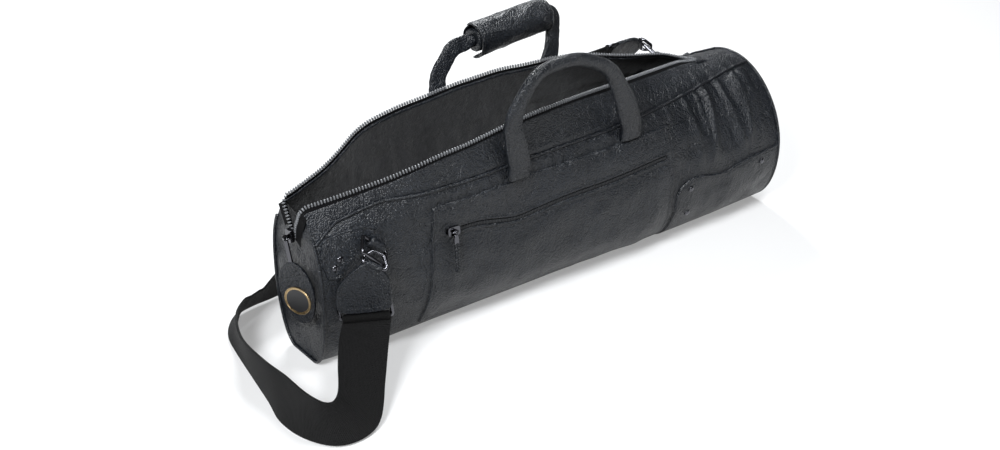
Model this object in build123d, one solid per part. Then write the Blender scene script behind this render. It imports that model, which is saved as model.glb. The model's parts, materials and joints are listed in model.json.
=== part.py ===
"""Soft leather gig bag for a trumpet, lying open on its base.

Frame: millimetres, +X along the bag towards the bell end, +Z up, -Y is the pocket side.
The origin is on the floor under the middle of the base.
"""
from build123d import *
import math
import os

# ---- body -----------------------------------------------------------------------------------
length = 556.0               # over the two end panels
mouth_half_width = 46.0      # belly of the mouthpiece end
middle_half_width = 74.9     # belly at the pocket's bell end
bell_half_width = 78.0       # belly of the bell end
bell_height = 162.0          # the closed bell end
belly_height = 74.0          # where the sides are widest
base_share = 0.32            # flat part of the base, as a share of the belly
leather = 1.6
foam = 8.0
plush = 2.4

# ---- mouth ----------------------------------------------------------------------------------
mouth_length = 503.0         # from the mouthpiece end to the end of the zip
gap_at_end = 17.0            # half of the open mouth at the mouthpiece end
gap_full = 54.0              # half of the open mouth where it is widest
lip_end_height = 156.0       # lip at the mouthpiece end
lip_top_height = 195.0       # lip at the middle
notch_bottom = 122.0         # foot of the mouth's notch in the end panel
tape_width = 9.0
tape_thickness = 1.2
teeth_radius = 1.5
teeth_reach = 6.0            # teeth above the lip

# ---- folding sides --------------------------------------------------------------------------
fold_start_x = -150.0        # lower end of the fold line
fold_start_z = 25.0
fold_end_x = 125.0           # upper end of the fold line
fold_end_z = 95.0
fold_gap = 0.4               # clearance round a folding side

# ---- trim -----------------------------------------------------------------------------------
seam_height = 158.0          # piped seam between side panel and zip strip
seam_end_height = 131.0      # the same seam at the mouthpiece end
piping_radius = 1.2
trim_thickness = 1.8         # patches and pocket
trim_gap = 0.15
patch_front_x = 130.0        # corner patch, at the bell end
patch_height = 77.0
rivet_radius = 3.2
rivet_height = 1.4

# ---- pocket ---------------------------------------------------------------------------------
pocket_left = -168.0
pocket_right = 125.0
pocket_top = 142.0
pocket_bottom = 14.0
pocket_zip_left = -152.0
pocket_zip_right = 114.0
pocket_zip_height = 110.0
pocket_slot = 9.0
pocket_tape_thickness = 1.0

# ---- handles --------------------------------------------------------------------------------
handle_spacing = 140.0       # between the legs of a handle, at the foot
handle_foot_height = 147.0
front_handle_rise = 113.0
back_handle_rise = 84.0
handle_radius = 5.6
front_handle_bends = (40.0, 34.0, 60.0, 60.0, 80.0)
back_handle_bends = (30.0, 24.0, 9.0, 60.0)
front_handle_lean = 9.0      # degrees outwards from upright
back_handle_lean = 20.0
leg_width = 24.0
leg_thickness = 5.0
leg_height = 38.0
foot_gap = 0.85
grip_radius = 15.0
grip_length = 96.0
grip_gap = 0.3

# ---- carrying strap -------------------------------------------------------------------------
ring_wire = 1.75
ring_width = 29.5
ring_depth = 20.0
ring_shift = -2.4            # of the ring along its loop
ring_loop_radius = 5.5
ring_loop_length = 18.5
bore_gap = 0.3
strap_ring_width = 22.0
strap_ring_depth = 13.0
strap_ring_tilt = 57.0       # degrees that the strap's ring leans towards the bag
strap_loop_width = 48.0
strap_loop_height = 14.0
chape_thickness = 4.4
webbing_thickness = 2.4
front_ring_at = (-226.5, 122.0)   # x, z
back_ring_at = (214.0, 150.0)
back_hardware_lean = 30.0    # degrees that the back pieces lean over the top
patch_size = 0.75            # of the back ring's patch against the front one's

# ---- zip sliders ----------------------------------------------------------------------------
slider_length = 13.0
slider_width = 9.0
slider_thickness = 4.0
slider_gap = 0.3
bail_wire = 0.9
pull_length = 28.0
tag_height = 60.0
tag_width = 43.0
tag_thickness = 3.0
tag_tilt = 15.0              # degrees that the tag hangs off the upright
tag_twist = -16.0            # degrees that it is turned about its length
medallion_thickness = 0.8
pocket_pull_length = 40.0

# ---- grip -----------------------------------------------------------------------------------
flap_thickness = 2.2
flap_arc = 150.0             # degrees of the grip that the flap covers
flap_start = 255.0           # its sewn edge, from the top of the grip towards the front

half = length / 2
wall = leather + foam + plush
zip_end_x = -half + mouth_length
STATIONS = [-half, -half + 8, -half + 24, -half + 62, -half + 107, -half + 156, -60.0, 0.0,
            60.0, 110.0, 160.0, 200.0, zip_end_x, half - 25, half]


def between(x, *table):
    """Straight interpolation in a table of (x, value) pairs."""
    if x <= table[0][0]:
        return table[0][1]
    for (x0, v0), (x1, v1) in zip(table, table[1:]):
        if x <= x1:
            return v0 + (v1 - v0) * (x - x0) / (x1 - x0)
    return table[-1][1]


def half_width(x):
    return between(x, (-half, mouth_half_width - 6), (-half + 8, mouth_half_width - 1.5),
                   (-half + 24, mouth_half_width + 1.5),
                   (122, middle_half_width), (zip_end_x - 20, bell_half_width), (half, bell_half_width))


def half_gap(x):
    return between(x, (-half, gap_at_end), (-half + 62, 0.62 * gap_full), (-half + 107, 0.94 * gap_full),
                   (-half + 156, gap_full), (0, 0.93 * gap_full), (60, 0.77 * gap_full),
                   (zip_end_x, 0.6))


def lip_height(x):
    return between(x, (-half, lip_end_height), (-half + 62, lip_end_height + 10),
                   (-half + 107, lip_top_height - 13), (-60, lip_top_height - 2),
                   (0, lip_top_height), (60, lip_top_height - 6), (160, bell_height + 13),
                   (zip_end_x, bell_height + 4), (half, bell_height))


def lip_slope(x):
    """Angle of the wall at the lip: 90 is upright, 0 lies flat."""
    return math.radians(between(x, (-half, 55), (-half + 107, 82), (0, 80), (zip_end_x, 0)))


def bezier(spans, *p):
    """Points along a cubic curve, both ends included."""
    points = []
    for i in range(spans + 1):
        t = i / spans
        k = ((1 - t) ** 3, 3 * t * (1 - t) ** 2, 3 * t * t * (1 - t), t ** 3)
        points.append(tuple(sum(k[j] * p[j][axis] for j in range(4)) for axis in (0, 1)))
    return points


def half_outline(x, inset=0.0):
    """Points (y, z) of the bag's skin on the +Y side, from the base's edge up to the lip."""
    w, g, top = half_width(x), half_gap(x), lip_height(x)
    b, belly, slope = base_share * w, belly_height, lip_slope(x)
    arm = 0.55 * ((w - g) * math.cos(slope) + 0.6 * (top - belly) * math.sin(slope))
    points = bezier(5, (b, 0), (b + 0.65 * (w - b), 0), (w, 0.45 * belly), (w, belly))
    points += bezier(7, (w, belly), (w, 0.5 * (top + belly)),
                     (g + arm * math.cos(slope), top - arm * math.sin(slope)), (g, top))[1:]
    if not inset:
        return points
    moved = []
    for i, (y, z) in enumerate(points):
        (y0, z0), (y1, z1) = points[max(i - 1, 0)], points[min(i + 1, len(points) - 1)]
        dy, dz = y1 - y0, z1 - z0
        if i == 0:
            dy, dz = 1.0, 0.0
        if i == len(points) - 1:
            dy, dz = -math.cos(slope), math.sin(slope)
        size = math.hypot(dy, dz)
        moved.append((y - inset * dz / size, z + inset * dy / size))
    return moved


def at(x, point, side=1):
    return Vector(x, side * point[0], point[1])


def nested_body(inset):
    """The whole bag as one solid, drawn in on every side by the inset."""
    shrink = (half - inset) / half
    sections = []
    for x in STATIONS:
        right = [at(x * shrink, p, 1) for p in half_outline(x, inset)]
        left = [at(x * shrink, p, -1) for p in half_outline(x, inset)]
        sections.append(Face(Wire([Line(left[0], right[0]), Spline(*right),
                                   Line(right[-1], left[-1]), Spline(*reversed(left))])))
    return loft(sections, ruled=True)


def mouth_cutter():
    """The space over the open lips, and the notch in the mouthpiece end."""
    sections = []
    for x in [-half - 5] + [s for s in STATIONS[1:] if s <= zip_end_x]:
        slope = lip_slope(x)
        side = half_gap(x) + 5 * math.sin(slope)
        low = lip_height(x) - 0.6 - wall * math.cos(slope)
        corners = [(-side, low), (side, low), (side, low + 120), (-side, low + 120)]
        sections.append(Face(Wire(Polyline(*[(x, y, z) for y, z in corners], close=True))))
    throat = []
    for x in [-half + 5] + [s for s in STATIONS[1:] if s <= zip_end_x - 20]:
        slope = lip_slope(x)
        side = max(half_gap(x) - wall * math.sin(slope) - 0.5, 0.3)
        top, low = lip_height(x), lip_height(x) - 12 - wall * math.cos(slope)
        corners = [(-side, low), (side, low), (side, top), (-side, top)]
        throat.append(Face(Wire(Polyline(*[(x, y, z) for y, z in corners], close=True))))
    notch_top = lip_end_height + 20
    notch = Polyline((-half - 5, 0, notch_bottom), (-half - 5, gap_at_end, lip_end_height),
                     (-half - 5, gap_at_end, notch_top), (-half - 5, -gap_at_end, notch_top),
                     (-half - 5, -gap_at_end, lip_end_height), close=True)
    over_lips = loft(sections, ruled=True) + loft(throat, ruled=True)
    return over_lips + extrude(Face(Wire(notch)), wall + 12, dir=(1, 0, 0))


def shell_layers():
    """Leather, padding and lining of the whole bag, mouth already cut."""
    bodies = [nested_body(inset) for inset in (0, leather, leather + foam, wall)]
    mouth = mouth_cutter()
    return [outer - inner - mouth for outer, inner in zip(bodies, bodies[1:])]


def skin_y(x, z, inset=0.0):
    """How far the skin stands from the middle plane at a height."""
    return between(z, *[(q[1], q[0]) for q in half_outline(x, inset)])


def fold_axis(side):
    """The line that a side folds about: the foot of its lining."""
    ends = [(fold_start_x, fold_start_z), (fold_end_x, fold_end_z)]
    return [Vector(x, side * skin_y(x, z, wall), z) for x, z in ends]


def fold_region(side, grow=0.0):
    """The block of space that holds a folding side, grown at its foot and its two ends."""
    low, high = fold_axis(side)
    along = (high - low).normalized()
    up = Vector(0, -1, 0).cross(along).normalized()
    size = (high - low).length + 2 * grow
    block = Box(size, 300, 260 + grow, align=(Align.MIN, Align.CENTER, Align.MIN))
    frame = Plane(origin=low - along * grow - up * grow, x_dir=along, z_dir=up)
    half_space = Pos(0, side * 250, 100) * Box(2 * length, 500 - 0.2, 900)
    return (frame * block) & half_space


def split_at_folds(whole):
    """One layer as its standing part and its front and back folding sides."""
    folding = {side: whole & fold_region(side) for side in (-1, 1)}
    standing = whole - fold_region(-1, fold_gap) - fold_region(1, fold_gap)
    return standing, folding[-1], folding[1]


def trim_layer():
    """A skin of trim just clear of the leather all round."""
    return nested_body(-trim_gap - trim_thickness) - nested_body(-trim_gap)


def side_prism(outline, side):
    """The space beside the bag over an outline of (x, z) points."""
    face = Face(Wire(Polyline(*[(x, side * 2, z) for x, z in outline], close=True)))
    return extrude(face, 150, dir=(0, side, 0))


def mouth_path(side):
    """Points along the zip teeth round one half of the mouth, with the tape's direction at each."""
    x = -half - teeth_radius - trim_gap
    foot = [(1.8, notch_bottom + 4), (0.2 * gap_at_end, notch_bottom + 14),
            (0.53 * gap_at_end, notch_bottom + 26), (0.85 * gap_at_end, lip_end_height + 3)]
    points = [(Vector(x, side * y, z), Vector(0, side * 0.9, -0.44), Vector(-1, 0, 0)) for y, z in foot]
    for x in [-half + 6] + STATIONS[2:-2]:
        lean, gap = lip_slope(x), half_gap(x)
        up = Vector(0, -side * math.cos(lean), math.sin(lean))
        out = Vector(0, side * math.sin(lean), math.cos(lean))
        reach = min(teeth_reach, (gap + 1.65 * math.sin(lean) - 1.8) / max(math.cos(lean), 0.05))
        lip = Vector(x, side * gap, lip_height(x))
        points.append((lip + up * reach + out * (teeth_radius + trim_gap), -up, out))
    return points


def rod(points, radius):
    """A round rod through points, eight-sided in section."""
    sections = []
    for i, p in enumerate(points):
        ahead = (points[min(i + 1, len(points) - 1)] - points[max(i - 1, 0)]).normalized()
        across = ahead.cross(Vector(0, 0, 1) if abs(ahead.Z) < 0.9 else Vector(0, 1, 0)).normalized()
        over = across.cross(ahead)
        ring = [p + across * (radius * math.cos(math.pi * (k + 0.5) / 4))
                + over * (radius * math.sin(math.pi * (k + 0.5) / 4)) for k in range(8)]
        sections.append(Face(Wire(Polyline(*ring, close=True))))
    return loft(sections, ruled=True)


def teeth(side):
    return rod([p for p, tape, out in mouth_path(side)], teeth_radius)


def band(edges, thickness):
    """A flat band between pairs of edge points."""
    centres = [(Vector(*a) + Vector(*b)) * 0.5 for a, b in edges]
    sections = []
    for i, (a, b) in enumerate(edges):
        a, b = Vector(*a), Vector(*b)
        ahead = (centres[min(i + 1, len(edges) - 1)] - centres[max(i - 1, 0)]).normalized()
        n = ahead.cross(b - a).normalized() * (thickness / 2)
        sections.append(Face(Wire(Polyline(a + n, b + n, b - n, a - n, close=True))))
    return loft(sections, ruled=True)


def zip_tape(side):
    """The tape outside the lip, from just beside the teeth."""
    edges = []
    for tooth, along, out in mouth_path(side):
        level = tooth - out * (teeth_radius - tape_thickness / 2)
        near = level + along.normalized() * (teeth_radius + 0.4)
        edges.append((near, near + along.normalized() * tape_width))
    return band(edges, tape_thickness)


def on_skin(x, z, side, off):
    """A point standing off the skin, square to it in the cross-section."""
    lean = (skin_y(x, z + 2) - skin_y(x, z - 2)) / 4
    return Vector(x, side * skin_y(x, z), z) + Vector(0, side, -lean).normalized() * off


def seam_piping(side):
    """Piped seam between a side and the zip strip."""
    points = []
    for x in [-half + 9, -half + 24, -half + 46, -half + 62, -half + 107, -half + 156, -60, 0, 60,
              110, 160, 200, half - 26, half - 6]:
        z = between(x, (-half, seam_end_height), (-half + 24, 0.6 * seam_height + 0.4 * seam_end_height),
                    (-half + 70, seam_height))
        points.append(on_skin(x, z, side, piping_radius + 0.95))
    return rod(points, piping_radius)


def end_piping(end):
    """Piping round the edge of an end panel, from base to base or from base to lip."""
    x = end * (half + 0.8 * piping_radius + 0.2)
    rim = half_outline(end * half, -0.8 * piping_radius - 0.2)[2:]
    if end > 0:
        return rod([at(x, p, 1) for p in rim[:-1]] + [at(x, p, -1) for p in reversed(rim[:-1])], piping_radius)
    return Compound([rod([at(x, p, side) for p in rim if p[1] < seam_end_height + 6], piping_radius)
                     for side in (-1, 1)])


def disc_on_skin(x, z, side, seat=0.9):
    """A rivet head seated on the trim."""
    low = on_skin(x, z, side, trim_gap + trim_thickness + seat)
    high = on_skin(x, z, side, trim_gap + trim_thickness + seat + rivet_height)
    return Plane(origin=low, z_dir=high - low) * Cylinder(rivet_radius, rivet_height,
                                                         align=(Align.CENTER, Align.CENTER, Align.MIN))


def corner_outline():
    """Corner patch at the bell end, (x, z)."""
    x0, h = patch_front_x, patch_height
    return [(x0, 0), (x0, 0.75 * h), (x0 + 5, 0.94 * h), (x0 + 18, 1.01 * h), (x0 + 35, h),
            (x0 + 53, 0.94 * h), (x0 + 66, 0.92 * h), (x0 + 84, 0.97 * h), (x0 + 105, h),
            (half - 4, 1.03 * h), (half - 4, 0)]


def ring_patch_outline(x, z, size):
    """Leaf shape round a ring's loop, (x, z)."""
    return [(x - 48 * size, z + 5 * size), (x - 43 * size, z + 13 * size), (x - 25 * size, z + 17 * size),
            (x - 5 * size, z + 18 * size), (x + 6 * size, z + 14 * size), (x + 12 * size, z + 5 * size),
            (x + 12 * size, z - 12 * size), (x - 20 * size, z - 22 * size), (x - 46 * size, z - 24 * size),
            (x - 49 * size, z - 8 * size)]


# ---- pocket ---------------------------------------------------------------------------------
def pocket_zip_z(x):
    """The pocket's zip sags between its ends."""
    return pocket_zip_height + between(x, (-152, 3), (-118, 2), (-75, -6), (-17, -2), (42, -3), (93, 1),
                                       (116, 2))


def zip_outline(width, short=0.0):
    xs = [pocket_zip_left + short, -118, -97, -75, -46, -17, 12, 42, 68, 93, pocket_zip_right - short]
    upper = [(x, pocket_zip_z(x) + width / 2) for x in xs]
    return upper + [(x, z - width) for x, z in reversed(upper)]


def pocket_outline():
    l, r, t, b = pocket_left, pocket_right, pocket_top, pocket_bottom
    return [(l - 9, b), (l - 6, b + 18), (l - 2, b + 45), (l - 1, b + 90), (l + 1, t), (l + 60, t + 0.5),
            (l + 150, t), (l + 240, t), (r + 2, t + 1), (r + 2, t - 15), (r, t - 34), (r - 3, t - 72),
            (r - 1, b)]


# ---- handles --------------------------------------------------------------------------------
def handle_plane(side, lean, foot_x):
    """Plane of a handle's arch: x from foot to foot, y up along its lean, through its hinge line."""
    off = foot_gap + leg_thickness / 2
    feet = [Vector(x, side * (skin_y(x, handle_foot_height) + off), handle_foot_height) for x in foot_x]
    x_dir = (feet[1] - feet[0]).normalized()
    up = Vector(0, side * math.sin(math.radians(lean)), math.cos(math.radians(lean)))
    return Plane(origin=(feet[0] + feet[1]) * 0.5, x_dir=x_dir, z_dir=x_dir.cross(up))


def handle(points, radii):
    """A round strap bent to an arch, with a flat stitched leg at each foot; in the arch's plane."""
    path = FilletPolyline(*points, radius=radii)
    body = sweep(Plane(origin=path @ 0, z_dir=path % 0) * Circle(handle_radius), path=path)
    for x, _ in (points[0], points[-1]):
        leg = Pos(x, leg_height / 2, 0) * Box(leg_width, leg_height, leg_thickness)
        tip = Pos(x, leg_height, 0) * Cylinder(leg_width / 2, leg_thickness)
        knuckle = Pos(x, 0, 0) * Rot(0, 90, 0) * Cylinder(leg_thickness / 2, leg_width)
        body += leg + tip + knuckle
    return body


def front_handle_points():
    s, rise = handle_spacing / 2, front_handle_rise
    return [(-s, 18), (-s - 16, rise - 47), (-s + 8, rise - 1), (-14, rise), (28, rise - 21), (s - 17, rise - 63), (s, 18)]


def back_handle_points():
    s, rise = handle_spacing / 2, back_handle_rise
    return [(-s, 12), (-s + 10, rise - 30), (-s + 36, rise - 7), (s + 32, rise), (s + 20, rise - 36), (s, 12)]


def ring_section(r0, r1, start, arc, run):
    """A slice of tube along X: radii, first angle and arc in degrees, length."""
    outer = [(r1 * math.cos(math.radians(start + arc * i / 12)), r1 * math.sin(math.radians(start + arc * i / 12)))
             for i in range(13)]
    inner = [(y * r0 / r1, z * r0 / r1) for y, z in reversed(outer)]
    return extrude(Plane.YZ * Face(Wire(Polyline(*[(y, z, 0) for y, z in outer + inner], close=True))), run / 2,
                   both=True)


# ---- strap hardware, in the frame of the front ring -------------------------------------------
CHAPE_AT = Vector(-14.7, -17.8, -8.2)      # strap ring's bar from the middle of the ring's loop
CHAPE_X = Vector(0.777, -0.629, 0)
CHAPE_OUT = Vector(-0.629, -0.777, 0)
RING_ALONG = Vector(0.667, -0.205, -0.718)
RING_DOWN = Vector(-0.545, -0.791, -0.281)


def wire_loop(width, depth, radius):
    """A bent wire ring: its first bar lies on X, the ring extends towards +Y."""
    path = (Pos(0, depth / 2, 0) * RectangleRounded(width, depth, radius)).wire()
    start = Plane(origin=path @ 0, z_dir=path % 0)
    return sweep(start * Circle(ring_wire), path=path)


def bag_ring():
    along = RING_ALONG.normalized()
    down = (RING_DOWN - along * along.dot(RING_DOWN)).normalized()
    frame = Plane(origin=(0, 0, 0), x_dir=along, z_dir=along.cross(down))
    ring = frame * (Pos(ring_shift, 0, 0) * wire_loop(ring_width, ring_depth, 3))
    tube = frame * (Rot(0, 90, 0) * (Cylinder(ring_loop_radius, ring_loop_length)
                                     - Cylinder(ring_wire + bore_gap, 2 * ring_loop_length)))
    return ring, tube


def chape_plane():
    return Plane(origin=CHAPE_AT, x_dir=CHAPE_X, z_dir=CHAPE_OUT)


def bar_plane(tilt):
    """X along the strap ring's bar, Y up its leaning bow."""
    bar = Rot(0, 0, -26) * Rot(-tilt, 0, 0)
    return chape_plane().location * bar


def strap_loop_place():
    return chape_plane().location * (Pos(-10.8, -39.9, 0) * Rot(0, 0, 187))


def strap_ring():
    w, d = strap_ring_width / 2, strap_ring_depth
    path = FilletPolyline((-w, 0), (w, 0), (w, 0.4 * d), (0.5 * w, d), (-0.5 * w, d), (-w, 0.4 * d),
                          radius=2.6, close=True)
    start = Plane(origin=path @ 0, z_dir=path % 0)
    return bar_plane(strap_ring_tilt) * sweep(start * Circle(ring_wire), path=path)


def strap_loop():
    return strap_loop_place() * wire_loop(strap_loop_width, strap_loop_height, 3)


def chape():
    """Two leaves of leather folded round the strap's ring and stitched over the strap loop."""
    outline = [(-8, 3.9), (8, -3.9), (13, -13), (14.5, -26), (13.0, -37.0), (-33.5, -42.6), (-34.5, -30),
               (-32.5, -20), (-24, -7), (-15, 2)]
    plate = extrude(Face(Wire(Polyline(*[(x, y, 0) for x, y in outline], close=True))), chape_thickness / 2,
                    both=True)
    fold = Rot(0, 0, -26) * Rot(0, 90, 0) * Cylinder(3.2, 16.4)
    foot = Pos(-10.8, -39.9, 0) * Rot(0, 0, 7) * Rot(0, 90, 0) * Cylinder(3.4, 40)
    bores = Rot(0, 0, -26) * Rot(0, 90, 0) * Cylinder(ring_wire + bore_gap, 80)
    bores += Pos(-10.8, -39.9, 0) * Rot(0, 0, 7) * Rot(0, 90, 0) * Cylinder(ring_wire + bore_gap, 90)
    return chape_plane().location * (plate + fold + foot - bores)


def ring_seat(at, side):
    """Middle of a ring's loop, standing on its patch."""
    seat = 0.6 if side < 0 else 1.5
    return on_skin(at[0], at[1], side, trim_gap + trim_thickness + seat + ring_loop_radius)


def front_hardware(piece):
    return Pos(*ring_seat(front_ring_at, -1)) * piece


def back_hardware(piece):
    """The same pieces at the bell end, turned to run towards the mouthpiece end."""
    here = Plane(origin=(0, 0, 0), x_dir=CHAPE_X, z_dir=(0, 0, 1)).location
    lean = math.radians(back_hardware_lean)
    there = Plane(origin=ring_seat(back_ring_at, 1), x_dir=(0, -math.sin(lean), math.cos(lean)),
                  z_dir=(1, 0, 0)).location
    return there * here.inverse() * piece


def webbing_end(place, side):
    """Edge points of the webbing where it is sewn round a strap loop's far bar."""
    y = strap_loop_height + ring_wire + webbing_thickness / 2 + 0.3
    pair = [(place * Location((x, y, 0))).position for x in (-22.3 * side, 22.3 * side)]
    return tuple(tuple(p) for p in pair)


def strap_webbing():
    """Webbing on its edge from the front loop, round the mouthpiece end and up to the back loop."""
    start = webbing_end(Pos(*ring_seat(front_ring_at, -1)) * strap_loop_place(), 1)
    end = webbing_end(back_hardware(strap_loop_place()), -1)
    return band([start] + WEBBING + [end], webbing_thickness)


# Edge points of the webbing between its two ends: (lower edge), (upper edge).
WEBBING = [
    ((-245, -93, 40), (-279, -65, 47)),
    ((-262, -112, 24), (-294, -86, 41)), ((-284, -136, 6), (-309, -109, 33)),
    ((-306, -144, 1.5), (-325, -126, 38)), ((-330, -138, 1.5), (-336, -128, 45)),
    ((-346, -112, 1.5), (-340, -108, 45.5)), ((-350, -80, 1.5), (-340, -76, 45)),
    ((-343, -48, 1.5), (-343, -45, 46)), ((-335, -4, 1.5), (-341, -2, 46)),
    ((-328, 36, 1.5), (-326, 35, 46)), ((-322, 64, 1.5), (-306, 57, 43)),
    ((-312, 83, 1.5), (-293, 66, 38)), ((-296, 98, 1.5), (-282, 72, 36)),
    ((-276, 103, 1.5), (-275, 74, 36)), ((-252, 104, 1.5), (-254, 83, 42)), ((-200, 110, 1.5), (-201, 107, 46)),
    ((-130, 117, 1.5), (-131, 119, 46)), ((-60, 116, 3), (-66, 115, 47)),
    ((0, 111, 22), (-22, 110, 61)), ((48, 107, 60), (20, 106, 95)), ((88, 103, 95), (62, 99, 132)),
    ((120, 97, 121), (105, 88, 162))]


# ---- zip sliders ------------------------------------------------------------------------------
def bail(width, reach):
    """A bent wire eye that stands off a slider: legs on the XY plane, crossbar along X."""
    w = width / 2
    path = FilletPolyline((-w, 0, 0), (-w, 0, reach), (w, 0, reach), (w, 0, 0), radius=1.2)
    return sweep(Plane(origin=path @ 0, z_dir=path % 0) * Circle(bail_wire), path=path)


def slider_body():
    """A zip slider with its bail: length along Y, its face towards +Z."""
    body = extrude(RectangleRounded(slider_width, slider_length, 2.5), slider_thickness)
    return body + Pos(0, -1, slider_thickness - 0.5) * bail(5.5, 3.2)


def main_slider_plane():
    """Face of the end panel's zip: X across, Y up the zip, Z out of the end panel."""
    x = -half - 2 * teeth_radius - trim_gap - slider_gap
    return Plane(origin=(x, 0, notch_bottom + slider_length / 2 + 2), x_dir=(0, -1, 0), z_dir=(-1, 0, 0))


def tag_plane():
    """The tag's own plane: origin on the bail's crossbar, Y towards the tag's foot."""
    slider = main_slider_plane().location
    return slider * Location((0, -1, slider_thickness + 2.7)) * Rot(0, 0, 180 + tag_tilt)


def main_pull():
    """Metal pull: an eye round the bail, a bar and a square end for the tag."""
    r = bail_wire + 0.35
    ring = Rot(0, 90, 0) * (Cylinder(r + 1.3, 3.2) - Cylinder(r, 8))
    shank = Pos(0, pull_length / 2 + 1.2, 0) * Box(4.5, pull_length - 2.0, 1.6)
    shank -= Rot(0, 90, 0) * Cylinder(r + 0.2, 8)
    return tag_plane() * (Rot(0, 0, -tag_tilt) * ring + Rot(0, tag_twist, 0) * shank)


def tag_shape(grow=0.0):
    h, w = tag_height / 2 + grow, tag_width / 2 + grow
    points = [(0, -h), (0.55 * w, -0.86 * h), (0.92 * w, -0.4 * h), (w, 0.1 * h), (0.86 * w, 0.6 * h),
              (0.45 * w, 0.93 * h), (0, h), (-0.45 * w, 0.93 * h), (-0.86 * w, 0.6 * h), (-w, 0.1 * h),
              (-0.92 * w, -0.4 * h), (-0.55 * w, -0.86 * h)]
    return Face(Wire(Spline(*points, periodic=True)))


def tag():
    body = extrude(tag_shape(), tag_thickness / 2, both=True)
    slot = Pos(0, -tag_height / 2 + 3, 0) * Box(4.9, 12, 2.0)
    return tag_plane() * Rot(0, tag_twist, 0) * Pos(0, pull_length + tag_height / 2 - 5, 0) * (body - slot)


def medallion():
    plate = extrude(Ellipse(0.36 * tag_width, 0.34 * tag_height), medallion_thickness)
    return (tag_plane() * Rot(0, tag_twist, 0)
            * Pos(0, pull_length + tag_height / 2 - 3, tag_thickness / 2 + 0.1) * plate)


def pocket_slider_plane():
    """X along the pocket's zip, Y up, Z out of the bag."""
    off = trim_gap + trim_thickness + slider_gap + 0.45
    ends = [Vector(x, -skin_y(x, pocket_zip_height), pocket_zip_z(x)) for x in (-146, 56)]
    along = (ends[1] - ends[0]).normalized()
    lean = (skin_y(0, pocket_zip_height + 2) - skin_y(0, pocket_zip_height - 2)) / 4
    out = Vector(0, -1, -lean)
    out = (out - along * along.dot(out)).normalized()
    return Plane(origin=ends[0] + out * off, x_dir=along, z_dir=out)


def pocket_slider():
    """The slider lies along the zip, its bail turned for a pull that hangs down."""
    body = Rot(0, 0, 90) * extrude(RectangleRounded(slider_width, slider_length, 2.5), slider_thickness)
    return pocket_slider_plane() * (body + Pos(0, 0, slider_thickness - 0.5) * bail(5.5, 3.2))


def pocket_pull():
    """A cloth-covered pull that hangs from the slider's bail."""
    r = bail_wire + 0.35
    ring = Rot(0, 90, 0) * (Cylinder(r + 1.1, 3.2) - Cylinder(r, 8))
    shank = Pos(0, -0.5 * pocket_pull_length - 1.2, 0) * Box(5.0, pocket_pull_length - 2.0, 1.8)
    shank -= Rot(0, 90, 0) * Cylinder(r + 0.2, 8)
    return pocket_slider_plane() * Location((0, 0, slider_thickness + 2.7)) * (ring + shank)


# ---- grip ---------------------------------------------------------------------------------------
def grip_plane():
    """X along the top run of the back handle, through the middle of the grip."""
    a, b = [Vector(*p) for p in back_handle_points()[2:4]]
    turn = math.degrees(math.atan2(b.Y - a.Y, b.X - a.X))
    arch = handle_plane(1, back_handle_lean, (-handle_spacing / 2, handle_spacing / 2)).location
    return arch * Location(tuple(a + (b - a) * 0.54)) * Rot(0, 0, turn)


def grip_wrap():
    tube = Cylinder(grip_radius - flap_thickness, grip_length) - Cylinder(handle_radius + grip_gap, 2 * grip_length)
    return grip_plane() * (Rot(0, 90, 0) * tube)


def grip_flap():
    inner = grip_radius - flap_thickness + grip_gap
    return grip_plane() * ring_section(inner, inner + flap_thickness, flap_start, flap_arc, grip_length)


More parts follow.
